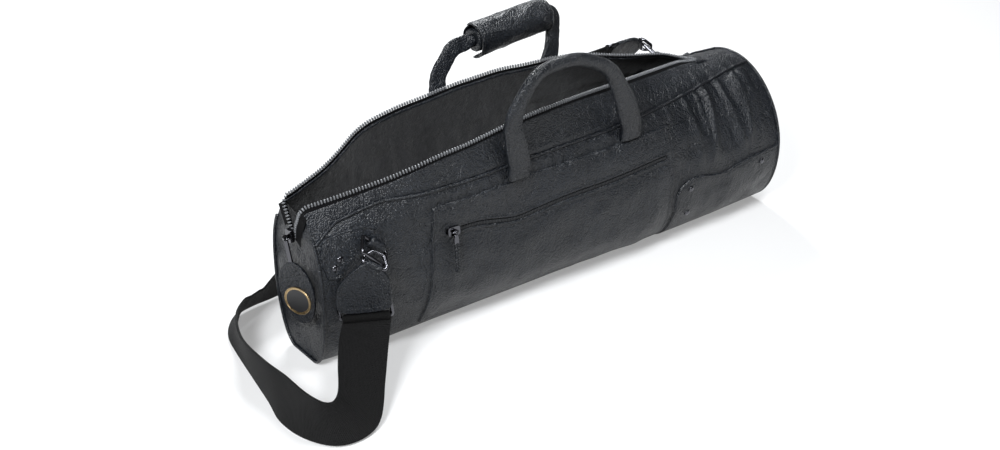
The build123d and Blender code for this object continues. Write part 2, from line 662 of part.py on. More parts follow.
def pieces():
    """Every piece of the bag by its node's name."""
    made = {}
    for layer, name in zip(shell_layers(), ("leather", "padding", "lining")):
        made["shell_" + name], made["front_side_" + name], made["back_side_" + name] = split_at_folds(layer)

    for name, run in (("zip_teeth", teeth), ("zip_tape", zip_tape), ("seam_piping", seam_piping)):
        both = Compound([run(-1), run(1)])
        ends, made["front_" + name], made["back_" + name] = split_at_folds(both)
        made[name + "_ends"] = ends
    trim = trim_layer()
    made["zip_end_stop"] = trim & Pos(zip_end_x + 10, 0, bell_height) * Box(16, 15, 40)
    made["mouth_end_piping"] = end_piping(-1)
    made["bell_end_piping"] = end_piping(1)

    made["corner_patch_front"] = trim & side_prism(corner_outline(), -1)
    made["corner_patch_back"] = trim & side_prism(corner_outline(), 1)
    made["corner_patch_rivets"] = Compound([disc_on_skin(x, z, side) for side in (-1, 1)
                                            for x, z in ((148, 66), (150, 35), (252, 67))])
    ring_patch = ring_patch_outline(*front_ring_at, 1)
    made["ring_patch_front"] = trim & side_prism(ring_patch, -1)
    ring_patch = ring_patch_outline(*back_ring_at, patch_size)
    ring_patch = [(2 * back_ring_at[0] - x, min(z, seam_height - 4)) for x, z in ring_patch]
    made["ring_patch_back"] = trim & side_prism(ring_patch, 1)
    made["ring_patch_rivets"] = Compound([disc_on_skin(x, z, -1, 1.3) for x, z in ((-259, 116), (-265, 109))])

    pocket = side_prism(pocket_outline(), -1)
    slot = side_prism(zip_outline(pocket_slot), -1)
    made["pocket_lower"], made["pocket_upper"], _ = split_at_folds((trim & pocket) - slot)
    tape = nested_body(-trim_gap - pocket_tape_thickness)
    made["pocket_zip_tape"] = (tape - nested_body(-trim_gap)) & side_prism(zip_outline(pocket_slot - 0.4, 0.2), -1)
    ridge = nested_body(-trim_gap - trim_thickness + 0.05) - nested_body(-trim_gap - pocket_tape_thickness - 0.05)
    made["pocket_zip_teeth"] = ridge & side_prism(zip_outline(3.0, 3.0), -1)
    made["pocket_slider"] = pocket_slider()
    made["pocket_pull"] = pocket_pull()

    feet = (-handle_spacing / 2, handle_spacing / 2)
    made["front_handle"] = handle_plane(-1, front_handle_lean, feet) * handle(front_handle_points(), front_handle_bends)
    made["back_handle"] = handle_plane(1, back_handle_lean, feet) * handle(back_handle_points(), back_handle_bends)
    made["grip_wrap"] = grip_wrap()
    made["grip_flap"] = grip_flap()

    main = main_slider_plane()
    made["main_slider"] = main * slider_body()
    made["main_pull"] = main_pull()
    made["tag"] = tag()
    made["tag_medallion"] = medallion()

    ring, tube = bag_ring()
    for where, place in (("front", front_hardware), ("back", back_hardware)):
        made["ring_" + where] = place(ring)
        made["ring_loop_" + where] = place(tube)
        made["strap_ring_" + where] = place(strap_ring())
        made["chape_" + where] = place(chape())
        made["strap_loop_" + where] = place(strap_loop())
    made["strap_webbing"] = strap_webbing()
    return made


if __name__ == "__main__":
    os.makedirs("parts", exist_ok=True)
    for node, shape in pieces().items():
        export_step(shape, os.path.join("parts", node + ".step"))
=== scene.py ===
"""Soft leather trumpet bag, lying open with its strap on the floor."""

import json
import math

import bmesh
import bpy
import numpy as np
from mathutils import Matrix, Vector, noise


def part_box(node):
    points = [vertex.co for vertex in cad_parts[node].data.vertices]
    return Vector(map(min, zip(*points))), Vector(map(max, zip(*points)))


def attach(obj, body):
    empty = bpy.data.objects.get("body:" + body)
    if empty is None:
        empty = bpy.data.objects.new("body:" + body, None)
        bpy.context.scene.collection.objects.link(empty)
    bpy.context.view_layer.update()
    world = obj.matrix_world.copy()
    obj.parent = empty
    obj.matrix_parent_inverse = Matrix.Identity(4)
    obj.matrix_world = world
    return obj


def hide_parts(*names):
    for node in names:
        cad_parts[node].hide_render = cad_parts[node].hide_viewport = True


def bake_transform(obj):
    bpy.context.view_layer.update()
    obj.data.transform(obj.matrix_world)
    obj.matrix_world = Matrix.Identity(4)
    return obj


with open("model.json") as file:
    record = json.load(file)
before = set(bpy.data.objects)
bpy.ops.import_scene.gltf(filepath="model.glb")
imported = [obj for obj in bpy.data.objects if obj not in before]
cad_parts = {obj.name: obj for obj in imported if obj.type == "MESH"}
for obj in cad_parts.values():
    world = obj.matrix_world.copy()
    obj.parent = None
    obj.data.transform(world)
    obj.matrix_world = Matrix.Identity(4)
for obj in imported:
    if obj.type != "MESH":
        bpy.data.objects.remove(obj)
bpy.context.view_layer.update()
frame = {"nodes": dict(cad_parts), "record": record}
joints = {j["name"]: j for j in frame["record"]["behaviour"]["joints"]}
MM = 0.001

# ---- Leather sides ------------------------------------------------------------------------------
# Two side panels of soft, pebble-grained cowhide with a sponge interlining. They meet at the base,
# bulge at the belly and lean in over the mouth, where the edge is turned under and sewn to the zip.
HALF = 278.0                 # half the bag's length, mm
GAP_END, GAP_FULL = 17.0, 54.0   # half the open mouth's width, at the narrow end and at its widest
LIP_END, LIP_TOP, BELL_TOP = 156.0, 195.0, 162.0
BELLY, FOOT = 74.0, 0.32     # height of the widest point; half the flat base as a share of the width
ZIP_END = 225.0              # x of the mouth's closed end
SEAM = 158.0                 # height of the seam below the lip
ROWS = 61                    # points in a side's section, from the base's edge to the lip
LEATHER_COLOUR = (0.0080, 0.0098, 0.0132, 1)


def between(x, *table):
    """Straight interpolation in a table of (x, value) pairs."""
    if x <= table[0][0]:
        return table[0][1]
    for (x0, v0), (x1, v1) in zip(table, table[1:]):
        if x <= x1:
            return v0 + (v1 - v0) * (x - x0) / (x1 - x0)
    return table[-1][1]


def eased(x, reach, *table):
    """The same, with its corners rounded off."""
    return sum(between(x + k * reach, *table) for k in (-1, -0.5, 0, 0.5, 1)) / 5


def ramp(value, low, high):
    """A smooth step, 0 up to low and 1 from high on."""
    t = min(max((value - low) / (high - low), 0.0), 1.0)
    return t * t * (3 - 2 * t)


# The bag along its length: half its width, half the mouth's gap, and the lip's height and slope.
def half_width(x):
    return eased(x, 9, (-HALF, 40), (-HALF + 8, 44.5), (-HALF + 24, 47.5), (122, 74.9),
                 (ZIP_END - 20, 78), (HALF, 78))


def half_gap(x):
    return eased(x, 12, (-HALF, GAP_END), (-HALF + 62, 0.62 * GAP_FULL), (-HALF + 107, 0.94 * GAP_FULL),
                 (-HALF + 156, GAP_FULL), (0, 0.93 * GAP_FULL), (60, 0.77 * GAP_FULL), (ZIP_END, 0.6))


def lip_height(x):
    return eased(x, 16, (-HALF, LIP_END), (-HALF + 62, LIP_END + 10), (-HALF + 107, LIP_TOP - 13),
                 (-60, LIP_TOP - 2), (0, LIP_TOP), (60, LIP_TOP - 6), (160, BELL_TOP + 13),
                 (ZIP_END, BELL_TOP + 4), (HALF, BELL_TOP))


def lip_slope(x):
    return math.radians(eased(x, 12, (-HALF, 55), (-HALF + 107, 82), (0, 80), (ZIP_END, 0)))


def curve(spans, *p):
    """Points of a cubic Bezier curve."""
    t = np.linspace(0, 1, spans + 1)[:, None]
    a, b, c, d = (np.array(q, float) for q in p)
    return (1 - t) ** 3 * a + 3 * t * (1 - t) ** 2 * b + 3 * t * t * (1 - t) * c + t ** 3 * d


sections = {}


def section(x):
    """The side's curve at x as evenly spaced points (y, z), from the base's edge to the lip."""
    key = round(x, 2)
    if key not in sections:
        w, g, top, lean = half_width(x), half_gap(x), lip_height(x), lip_slope(x)
        foot = FOOT * w
        arm = 0.55 * ((w - g) * math.cos(lean) + 0.6 * (top - BELLY) * math.sin(lean))
        low = curve(30, (foot, 0), (foot + 0.65 * (w - foot), 0), (w, 0.45 * BELLY), (w, BELLY))
        high = curve(40, (w, BELLY), (w, 0.5 * (top + BELLY)),
                     (g + arm * math.cos(lean), top - arm * math.sin(lean)), (g, top))
        raw = np.vstack([low, high[1:]])
        run = np.concatenate([[0], np.cumsum(np.linalg.norm(np.diff(raw, axis=0), axis=1))])
        at = np.linspace(0, run[-1], ROWS)
        sections[key] = np.stack([np.interp(at, run, raw[:, k]) for k in (0, 1)], 1), run[-1]
    return sections[key][0]


def share_at(x, z):
    """Share of the way up the section at which it reaches a height."""
    return float(np.interp(z, section(x)[:, 1], np.linspace(0, 1, ROWS)))


def seam_height(x):
    """Height of the seam that joins the side to the strip along the zip."""
    return between(x, (-HALF, 131), (-HALF + 24, 147), (-HALF + 70, SEAM))


# Places on the skin that carry something stiff, where the leather lies flat: x, height, side.
STILL = [(-70, 150, -1), (70, 150, -1), (-70, 150, 1), (70, 150, 1), (-226, 122, -1),
         (214, 150, 1), (-262, 112, -1), (148, 66, -1), (150, 35, -1), (252, 67, -1),
         (148, 66, 1), (150, 35, 1), (252, 67, 1)]


def ridged(x, z, seed):
    """Sharp-crested noise, as leather creases: 1 on a crest, 0 between."""
    return 1 - min(abs(noise.noise(Vector((x, z, seed)))) * 2.6, 1.0)


def rumple(x, z, side):
    """How far the leather stands off its smooth shape: sags, dents, puckers and folds, mm."""
    soft = noise.fractal(Vector((x * 0.010, z * 0.014, side * 5.0 + 2.0)), 1.0, 2.1, 3) * 2.6
    sag = 1.1 * noise.noise(Vector((x * 0.030, z * 0.055, side * 2.0)))
    gather = noise.noise(Vector((x * 0.085, z * 0.014, side * 9.0)))
    bell = ramp(x, 138, 172) * (1 - 0.75 * ramp(x, 222, 262))
    bell *= ramp(z, 74, 102) * (1 - 0.6 * ramp(z, 150, 162))
    wander = 9 * noise.noise(Vector((x * 0.012, z * 0.016, 4.0 + side)))
    folds = 4.2 * ridged((x + wander) * 0.034, z * 0.0075, side * 3.0 + 0.4) \
        + 2.0 * ridged((x - wander) * 0.085, z * 0.014, side * 7.0 + 0.7) - 2.4
    below = z - seam_height(x)
    pucker = math.exp(-((below + 12) / 14) ** 2) * noise.noise(Vector((x * 0.13, 3.0 * side, z * 0.03)))
    seam = 0.9 * math.exp(-((below - 6) / 4.5) ** 2) + 0.7 * math.exp(-((below + 7) / 5) ** 2) \
        - 1.5 * math.exp(-(below / 2.6) ** 2)
    crush = ramp(-x, 165, 240) * (1 - 0.5 * ramp(z, 100, 130))
    narrow = 2.6 * ridged(x * 0.03 - z * 0.012, z * 0.042 + x * 0.01, side * 6.0 + 0.2) - 1.2
    waist = 0.8 * ridged(x * 0.02 + z * 0.012, z * 0.03, side * 2.0 + 5.0) * ramp(z, 20, 60)
    out = soft + sag + 0.5 * gather + bell * folds + 1.5 * pucker + seam + crush * narrow + waist
    if side < 0:
        out *= 1 - 0.85 * math.exp(-((z - 107) / 10) ** 2) * ramp(x, -185, -160) * ramp(140 - x, 0, 30)
    for sx, sz, on in STILL:
        if on == side:
            out *= 1 - 0.9 * math.exp(-((x - sx) ** 2 + (z - sz) ** 2) / 14 ** 2)
    return out * ramp(z, 2, 22) * ramp(HALF - abs(x), 0, 22)


def on_bag(x, share, side, off=0.0):
    """A point on the finished skin and the way out from it, mm."""
    pts = section(x)
    k = min(max(share, 0.0), 1.0) * (ROWS - 1)
    i = min(int(k), ROWS - 2)
    y, z = pts[i] + (pts[i + 1] - pts[i]) * (k - i)
    before, after = pts[max(i - 1, 0)], pts[min(i + 2, ROWS - 1)]
    ny, nz = after[1] - before[1], before[0] - after[0]
    size = math.hypot(ny, nz)
    ny, nz = ny / size, nz / size
    edge = ramp(share, 0.82, 0.98)
    d = rumple(x, z, side) * (1 - edge) + off
    reach = ramp(HALF - abs(x), 0, 70) * ramp(ZIP_END - 10 - x, 0, 50) * edge
    rise = 1.5 * noise.noise(Vector((x * 0.018, side * 4.0, 7.0))) * reach
    spread = 1.3 * noise.noise(Vector((x * 0.014, side * 8.0, 1.0))) * reach
    if side > 0:
        loose = ramp(x, 10, 90) * (1 - ramp(x, 180, ZIP_END + 2)) * edge
        rise, spread = rise + 6.0 * loose, spread + 5.0 * loose
    return (Vector((x, side * (y + ny * d + spread), z + nz * d + rise)), Vector((0, side * ny, nz)))


def on_side(x, z, side, off=0.0):
    """The same, at a height."""
    return on_bag(x, share_at(x, z), side, off)[0]


def to_mesh(bm, name, inside_out=False):
    """A smooth-shaded mesh from a bmesh, which it frees."""
    if inside_out:
        bmesh.ops.reverse_faces(bm, faces=bm.faces)
    for face in bm.faces:
        face.smooth = True
    mesh = bpy.data.meshes.new(name)
    bm.to_mesh(mesh)
    bm.free()
    return mesh


def fine_grid(across, up, place):
    """A grid with each point put where place(u, v) says, in mm."""
    bm = bmesh.new()
    bm.loops.layers.uv.new("UVMap")
    bmesh.ops.create_grid(bm, x_segments=across, y_segments=up, size=1, calc_uvs=True)
    for vert in bm.verts:
        vert.co = Vector(place((vert.co.x + 1) / 2, (vert.co.y + 1) / 2)) * MM
    return bm


def cloth(name, across, up, place, inside_out=False):
    """An open sheet of cloth or leather."""
    return to_mesh(fine_grid(across, up, place), name, inside_out)


def piece(name, mesh, material, body=None, instead=()):
    """One finished piece: its object, finish, body and the nodes it stands for."""
    thing = bpy.data.objects.new(name, mesh)
    bpy.context.scene.collection.objects.link(thing)
    mesh.materials.clear()
    mesh.materials.append(material)
    if body:
        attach(thing, body)
    if instead:
        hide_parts(*instead)
    return thing


# The side's upper part folds inwards about a sloping line, so each skin is cut into three stretches:
# along the narrow end, across the fold line, and across the line's run-out at the bell.
FAR, NARROW_TO, BELL_FROM = 400, -172, 20
STRETCHES = (("narrow", -FAR, NARROW_TO, (-0.278, 0, 0), (-0.172, 0, 0)),
             ("middle", NARROW_TO, BELL_FROM, (-0.01136, 0, 0.04457), (-0.01877, 0, 0.07364)),
             ("bell", BELL_FROM, FAR, (0.030, 0, -0.0264), (-0.045, 0, 0.0396)))


def folding(name, whole, material, instead=(), only=("narrow", "middle", "bell")):
    """Part a side's mesh at the stretches, each part keeping the whole mesh's smooth normals."""
    normals = [v.normal.copy() for v in whole.vertices]
    for stretch, low, high, start, end in STRETCHES:
        if stretch not in only:
            continue
        bm = bmesh.new()
        bm.from_mesh(whole)
        index = bm.verts.layers.int.new("whole")
        for vert in bm.verts:
            vert[index] = vert.index
        if low == NARROW_TO and "narrow" not in only:
            low = -FAR
        away = [f for f in bm.faces if not low <= f.calc_center_median().x / MM < high]
        bmesh.ops.delete(bm, geom=away, context="FACES")
        if not bm.faces:
            bm.free()
            continue
        own = [normals[vert[index]] for vert in bm.verts]
        bm.verts.layers.int.remove(index)
        mesh = to_mesh(bm, name + "_" + stretch)
        mesh.normals_split_custom_set_from_vertices(own)
        thing = piece(name + "_" + stretch, mesh, material, None, instead)
        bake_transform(thing)


class Shader:
    """A material's nodes, added one by one."""

    def __init__(self, name, **sockets):
        self.material = bpy.data.materials.new(name)
        self.material.use_nodes = True
        self.tree = self.material.node_tree
        self.base = self.tree.nodes["Principled BSDF"]
        self.place = self.tree.nodes.new("ShaderNodeTexCoord").outputs["Object"]
        for socket, value in sockets.items():
            self.base.inputs[socket.replace("_", " ")].default_value = value

    def node(self, kind, inputs=(), out=0, **settings):
        made = self.tree.nodes.new("ShaderNode" + kind)
        for key, value in settings.items():
            setattr(made, key, value)
        for key, value in dict(inputs).items():
            if isinstance(value, bpy.types.NodeSocket):
                self.tree.links.new(value, made.inputs[key])
            else:
                made.inputs[key].default_value = value
        return made.outputs[out]

    def scaled(self, x, y, z):
        return self.node("Mapping", {"Vector": self.place, "Scale": (x, y, z)})

    def noise(self, scale, detail=3.0, rough=0.5, vector=None):
        return self.node("TexNoise", {"Vector": vector or self.place, "Scale": scale, "Detail": detail,
                                      "Roughness": rough})

    def spread(self, value, low, high, start, end):
        """The value's range low..high laid over start..end."""
        return self.node("MapRange", {"Value": value, "From Min": low, "From Max": high, "To Min": start,
                                      "To Max": end})

    def mix(self, factor, a, b):
        made = self.tree.nodes.new("ShaderNodeMix")
        made.data_type = "RGBA"
        self.tree.links.new(factor, made.inputs[0])
        for k, value in ((6, a), (7, b)):
            if isinstance(value, bpy.types.NodeSocket):
                self.tree.links.new(value, made.inputs[k])
            else:
                made.inputs[k].default_value = value
        return made.outputs[2]

    def bumps(self, *heights):
        """Stacked bumps: (height, depth in metres)."""
        normal = None
        for height, depth in heights:
            inputs = {"Height": height, "Strength": 1.0, "Distance": depth}
            if normal:
                inputs["Normal"] = normal
            normal = self.node("Bump", inputs)
        self.to("Normal", normal)

    def to(self, socket, value):
        self.tree.links.new(value, self.base.inputs[socket])


def leather_finish(name, colour, grain=620, rough=(0.27, 0.42), creases=0.0026):
    """Pebbled hide: rounded grains with painted shade in their valleys, soft creases, a satin dressing."""
    made = Shader(name, Specular_IOR_Level=0.42)
    warped = made.node("VectorMath", {0: made.place, 1: made.node("VectorMath", {
        0: made.node("TexNoise", {"Vector": made.place, "Scale": 260.0, "Detail": 2.0}, out=1),
        1: (0.0011, 0.0011, 0.0011)}, operation="MULTIPLY")}, operation="ADD")
    pebble = made.node("TexVoronoi", {"Vector": warped, "Scale": grain, "Randomness": 1.0,
                                      "Smoothness": 0.35}, feature="SMOOTH_F1")
    fine = made.noise(2400, 2.0, 0.6)
    crease = made.node("TexNoise", {"Vector": made.scaled(1.0, 1.0, 0.5), "Scale": 58.0, "Detail": 6.0,
                                    "Roughness": 0.66, "Distortion": 0.5})
    line = made.node("TexNoise", {"Vector": made.scaled(1.0, 1.0, 0.7), "Scale": 34.0, "Detail": 3.0,
                                  "Roughness": 0.55, "Distortion": 0.9})
    cut = made.spread(made.node("Math", {0: made.node("Math", {0: line, 1: 0.5}, operation="SUBTRACT")},
                                operation="ABSOLUTE"), 0.0, 0.022, 0.0, 1.0)
    wide = made.noise(17, 4.0, 0.55)
    made.bumps((crease, creases), (cut, 0.0004), (pebble, -0.0007), (fine, 0.00008))
    worn = made.spread(wide, 0.35, 0.7, 0.0, 1.0)
    # Painted shade: the grain's valleys, low in the bump, are coloured darker.
    valley_shade = made.spread(pebble, 0.2, 0.75, 0.0, 1.0)
    lighter = tuple(c * 1.9 for c in colour[:3]) + (1,)
    valley_shade_colour = tuple(c * 0.45 for c in colour[:3]) + (1,)
    made.to("Base Color", made.mix(valley_shade, made.mix(worn, colour, lighter), valley_shade_colour))
    made.to("Roughness", made.spread(wide, 0.3, 0.7, *rough))
    return made.material


body_leather = leather_finish("pebbled leather", LEATHER_COLOUR)

TURN = 0.93                  # share of the rows below the turned edge
LIP_GROW = 1.2               # the turned edge comes up this far along the zip's tape


def skin_point(side):
    def place(u, v):
        x = -HALF + 2 * HALF * u
        share = min(v / TURN, 1.0)
        lip, out = on_bag(x, share, side)
        up = Vector((0, -side * out.z, side * out.y))
        lip += up * LIP_GROW * ramp(share, 0.93, 1.0) * ramp(HALF + x, 2, 26) * ramp(ZIP_END - x, 4, 30)
        if v <= TURN:
            return lip
        c = (v - TURN) / (1 - TURN)
        turn = min(c / 0.6, 1.0) * math.pi
        down = max(c - 0.6, 0) / 0.4 * 6.0 * ramp(ZIP_END - x, 0, 40)
        return lip - out * (1.2 - 1.2 * math.cos(turn)) + up * (1.2 * math.sin(turn) - down)
    return place


for side, word in ((-1, "front"), (1, "back")):
    skin = cloth(word + "_skin", 278, 84, skin_point(side), inside_out=side > 0)
    folding(word + "_skin", skin, body_leather,
            ("shell_leather", "shell_padding", word + "_side_leather", word + "_side_padding"))

# ---- Base and end panels ------------------------------------------------------------------------
# One strip of the same leather closes the bottom. The mouthpiece end has a narrow panel with a
# notch for the zip, and the bell end a full oval panel, both sewn in with piping.
NOTCH = 122.0                # height of the notch's foot


def base_point(u, v):
    x = -HALF + 2 * HALF * u
    return Vector((x, FOOT * half_width(x) * (2 * v - 1), 0))


piece("base_panel", cloth("base_panel", 60, 6, base_point, inside_out=True), body_leather, "bag",
      ("shell_leather",))


def end_point(end, side):
    """A point of an end panel: v goes up it, u from its middle (or the notch) to its edge."""
    def place(u, v):
        x = end * HALF
        top = section(x)[-1][1]
        z = top * (1 - (1 - v) ** 1.25)
        outer = float(np.interp(z, section(x)[:, 1], section(x)[:, 0]))
        inner = 0.0
        if end < 0 and z > NOTCH:
            inner = GAP_END * (z - NOTCH) / (LIP_END - NOTCH)
        y = inner + (outer - inner) * u
        edge = ramp(outer - y, 0, 9) * ramp(z, 0, 10) * ramp(top - z, 0, 12)
        dent = noise.fractal(Vector((side * y * 0.03, z * 0.022, 3.0 * end)), 1.0, 2.1, 3)
        crease = math.sin(z * 0.19 + side * y * 0.06 + 2 * math.sin(y * 0.05)) * ramp(z, 20, 70)
        bulge = (2.6 * dent + (1.1 if end < 0 else 0.7) * crease) * edge
        return Vector((x + end * min(bulge, 2.2), side * y, z))
    return place


for end, word in ((-1, "mouth_end"), (1, "bell_end")):
    for side, hand in ((-1, "front"), (1, "back")):
        name = "_".join((word, hand))
        piece(name, cloth(name, 30, 80, end_point(end, side), inside_out=(side * end) < 0), body_leather,
              "bag", ("shell_leather",))

# ---- Plush lining -------------------------------------------------------------------------------
# Black brushed plush over sponge. It is 12 mm inside the leather on the sides and floor, and comes
# up to the thin turned edge at the lips.
WALL = 12.0
FLOOR_SHARE = 0.12           # share of the rows that lie on the floor of the bag
plush = Shader("black plush", Base_Color=(0.006, 0.006, 0.0068, 1), Roughness=0.95, Sheen_Weight=0.25,
               Sheen_Roughness=0.5, Specular_IOR_Level=0.12)
plush.bumps((plush.noise(70, 5.0, 0.65), 0.0022), (plush.noise(1500, 3.0, 0.7), 0.0006))
plush.to("Base Color", plush.mix(plush.spread(plush.noise(160, 4.0, 0.7), 0.35, 0.7, 0.0, 1.0),
                                 (0.0035, 0.0035, 0.004, 1), (0.011, 0.011, 0.0125, 1)))


def lining_point(side):
    def place(u, v):
        x = -HALF + 2.6 + (2 * HALF - 5.2) * u
        if v < FLOOR_SHARE:
            low = on_bag(x, 0.0, side)[0]
            return Vector((x, low.y * v / FLOOR_SHARE, WALL))
        share = (v - FLOOR_SHARE) / (1 - FLOOR_SHARE)
        point, out = on_bag(x, share, side)
        thick = WALL - 9.6 * ramp(share, 0.72, 1.0) * ramp(ZIP_END + 20 - x, 0, 30)
        lump = 1.2 * noise.noise(Vector((x * 0.02, share * 4.0, side * 3.0))) * ramp(share, 0.0, 0.2) \
            * (1 - ramp(share, 0.75, 0.95))
        inner = point - out * (thick + lump)
        if side * inner.y < 0.4:
            inner.y = side * 0.4
        inner.z = max(inner.z, WALL if share < 0.2 else inner.z)
        return inner
    return place


for side, word in ((-1, "front"), (1, "back")):
    lining = cloth(word + "_lining", 139, 60, lining_point(side), inside_out=side < 0)
    folding(word + "_lining", lining, plush.material,
            ("shell_lining", word + "_side_lining"))


def lining_end_point(end, side):
    """The padded inside of an end panel, thin at the notch."""
    def place(u, v):
        base = end_point(end, side)(u, v)
        x = end * (HALF - 2.6 - 9.4 * ramp(u if end < 0 and base.z > NOTCH - 12 else 1.0, 0.0, 0.35)
                   * ramp(base.z, 0, 12) * ramp(section(end * HALF)[-1][1] - base.z, 0, 20))
        y, z = abs(base.y), max(base.z, WALL)
        return Vector((x, side * max(y - 2.0 * u, 0), z))
    return place


for end, word in ((-1, "mouth_end"), (1, "bell_end")):
    for side, hand in ((-1, "front"), (1, "back")):
        name = "_".join((word, "lining", hand))
        piece(name, cloth(name, 14, 40, lining_end_point(end, side), inside_out=(side * end) > 0),
              plush.material, "bag", ("shell_lining",))

# ---- Piping -------------------------------------------------------------------------------------
# A cord covered in leather is sewn into the seam below each lip, and round both end panels. It
# stiffens the seams, so that the soft bag keeps its outline.


def tube(name, points, radius, closed=False, smooth=True, rings=3):
    """A round rod along points, in mm, bent smoothly between them."""
    line = bpy.data.curves.new(name, "CURVE")
    line.dimensions = "3D"
    spline = line.splines.new("NURBS" if smooth else "POLY")
    spline.points.add(len(points) - 1)
    for knot, at in zip(spline.points, points):
        knot.co = (*(Vector(at) * MM), 1)
    spline.use_cyclic_u = closed
    if smooth:
        spline.order_u = 3
        spline.use_endpoint_u = not closed
        spline.resolution_u = 4
    line.bevel_depth = radius * MM
    line.bevel_resolution = rings
    line.use_fill_caps = True
    holder = bpy.data.objects.new(name, line)
    mesh = bpy.data.meshes.new_from_object(holder)
    bpy.data.objects.remove(holder)
    bpy.data.curves.remove(line)
    mesh.polygons.foreach_set("use_smooth", [True] * len(mesh.polygons))
    return mesh


for side, word in ((-1, "front"), (1, "back")):
    line = [on_side(x, seam_height(x), side, 0.9) for x in np.linspace(-HALF + 1, HALF - 1, 186)]
    folding(word + "_seam_piping", tube(word + "_seam_piping", line, 1.45), body_leather,
            (word + "_seam_piping", "seam_piping_ends"))

rim = [Vector((HALF + 0.6, y + 0.7, z)) for y, z in section(HALF)[1:-1:2]]
rim += [Vector((p.x, -p.y, p.z)) for p in reversed(rim)]
piece("bell_piping", tube("bell_piping", rim, 1.7), body_leather, "bag",
      ("bell_end_piping",))
rim = [Vector((-HALF - 0.5, y + 0.5, max(z, 1.2))) for y, z in section(-HALF)[::2] if z < 140]
rim = [Vector((p.x, -p.y, p.z)) for p in reversed(rim)] + rim
piece("mouth_end_welt", tube("mouth_end_welt", rim, 1.6), body_leather, "bag",
      ("mouth_end_piping",))

# ---- Mouth zip ----------------------------------------------------------------------------------
# A heavy coil zip. Each half is a woven tape that comes out from under the turned lip, with the
# nylon coil standing clear of the edge. It runs from the foot of the notch to the closed bell end.
COIL_PITCH, COIL_REACH = 3.0, 6.0
MOUTH_COIL = (1.45, 3.4, 2.6)        # a loop's size along, across and over the tape


def resampled(points, pitch):
    """The same path in even steps."""
    pts = np.array([tuple(p) for p in points], float)
    run = np.concatenate([[0], np.cumsum(np.linalg.norm(np.diff(pts[:, :3], axis=0), axis=1))])
    at = np.linspace(0, run[-1], max(int(run[-1] / pitch), 2) + 1)
    return [np.array([np.interp(s, run, pts[:, k]) for k in range(pts.shape[1])]) for s in at]


def lofted(name, rows, inside_out=False):
    """A grid through rows of points."""
    across, up = len(rows) - 1, len(rows[0]) - 1
    return cloth(name, across, up, lambda u, v: rows[round(u * across)][round(v * up)], inside_out)


def zip_rows(side):
    """The zip's centre line with its tape's section at each step: coil, edge, skin."""
    rows = []
    x = -HALF - 1.7
    for y, z in ((2.0, NOTCH + 4), (2.6, NOTCH + 9), (4.0, NOTCH + 15), (6.2, NOTCH + 20.5),
                 (9.2, NOTCH + 26), (11.6, NOTCH + 31), (14.0, NOTCH + 35.5)):
        coil = Vector((x, side * y, z))
        along = Vector((0, side * 0.9, -0.44))
        rows.append([*coil, *(coil + along * 1.6), *(coil + along * 5), *(coil + along * 8),
                     *(coil + along * 11)])
    for x in np.arange(-HALF + 3, ZIP_END - 2, 4.0):
        lip, _ = on_bag(x, 1.0, side)
        lean, gap = lip_slope(x), half_gap(x)
        up = Vector((0, -side * math.cos(lean), math.sin(lean)))
        out = Vector((0, side * math.sin(lean), math.cos(lean)))
        reach = min(COIL_REACH, (gap + 1.65 * math.sin(lean) - 1.8) / max(math.cos(lean), 0.05))
        coil = lip + up * reach + out * 1.2
        under = [lip + up * rise - out * drop for rise, drop in ((1.6, -0.1), (-0.5, 1.1), (-4.0, 1.5))]
        rows.append([*coil, *(lip + up * (reach - 1.4) + out * 0.7), *under[0], *under[1], *under[2]])
    return resampled(rows, COIL_PITCH)


tape_finish = Shader("woven zip tape", Base_Color=(0.004, 0.004, 0.0045, 1), Roughness=0.85,
                     Specular_IOR_Level=0.1)
twill = tape_finish.node("TexWave", {"Vector": tape_finish.place, "Scale": 420.0, "Distortion": 0.6,
                                     "Detail": 1.0})
tape_finish.bumps((twill, 0.0002), (tape_finish.noise(900, 2), 0.0002))
coil_finish = Shader("nylon coil", Base_Color=(0.12, 0.124, 0.132, 1), Roughness=0.3,
                     Specular_IOR_Level=0.5)
coil_finish.to("Roughness", coil_finish.spread(coil_finish.noise(700), 0.3, 0.7, 0.22, 0.4))


def coil(name, line, across_of, size, rounding):
    """Loops of the coil along a line: small rounded blocks set across it."""
    bm = bmesh.new()
    for i, at in enumerate(line):
        ahead = (line[min(i + 1, len(line) - 1)] - line[max(i - 1, 0)]).normalized()
        across = across_of(i)
        over = ahead.cross(across).normalized()
        across = over.cross(ahead)
        turn = Matrix((ahead, across, over)).transposed().to_4x4()
        bmesh.ops.create_cube(bm, size=1, matrix=Matrix.Translation(at * MM) @ turn
                              @ Matrix.Diagonal((*(Vector(size) * MM), 1)))
    bmesh.ops.bevel(bm, geom=bm.edges, offset=rounding * MM, segments=1, profile=0.5, affect="EDGES",
                    material=-1)
    return to_mesh(bm, name)


for side, word in ((-1, "front"), (1, "back")):
    rows = zip_rows(side)
    tape_rows = [[Vector(r[3 * k:3 * k + 3]) for k in (1, 2, 3, 4)] for r in rows]
    tape = lofted(word + "_zip_tape", tape_rows, inside_out=side < 0)
    folding(word + "_zip_tape", tape, tape_finish.material,
            (word + "_zip_tape", "zip_tape_ends"))
    line = [Vector(r[:3]) for r in rows]
    edge = [Vector(r[3:6]) for r in rows]
    loops = coil(word + "_zip_coil", line, lambda i: (edge[i] - line[i]).normalized(), MOUTH_COIL, 0.35)
    folding(word + "_zip_coil", loops, coil_finish.material,
            (word + "_zip_teeth", "zip_teeth_ends"))

# ---- Thread and patches -------------------------------------------------------------------------
# Leather patches are skived at the edge, laid on the bag and sewn down with bonded black thread.
# Corner patches take the wear at the bell end, and leaf-shaped ones carry the strap's rings.
thread_finish = Shader("bonded thread", Base_Color=(0.028, 0.029, 0.032, 1), Roughness=0.42,
                       Specular_IOR_Level=0.5)
thread_finish.bumps((thread_finish.noise(2600, 2), 0.0001))


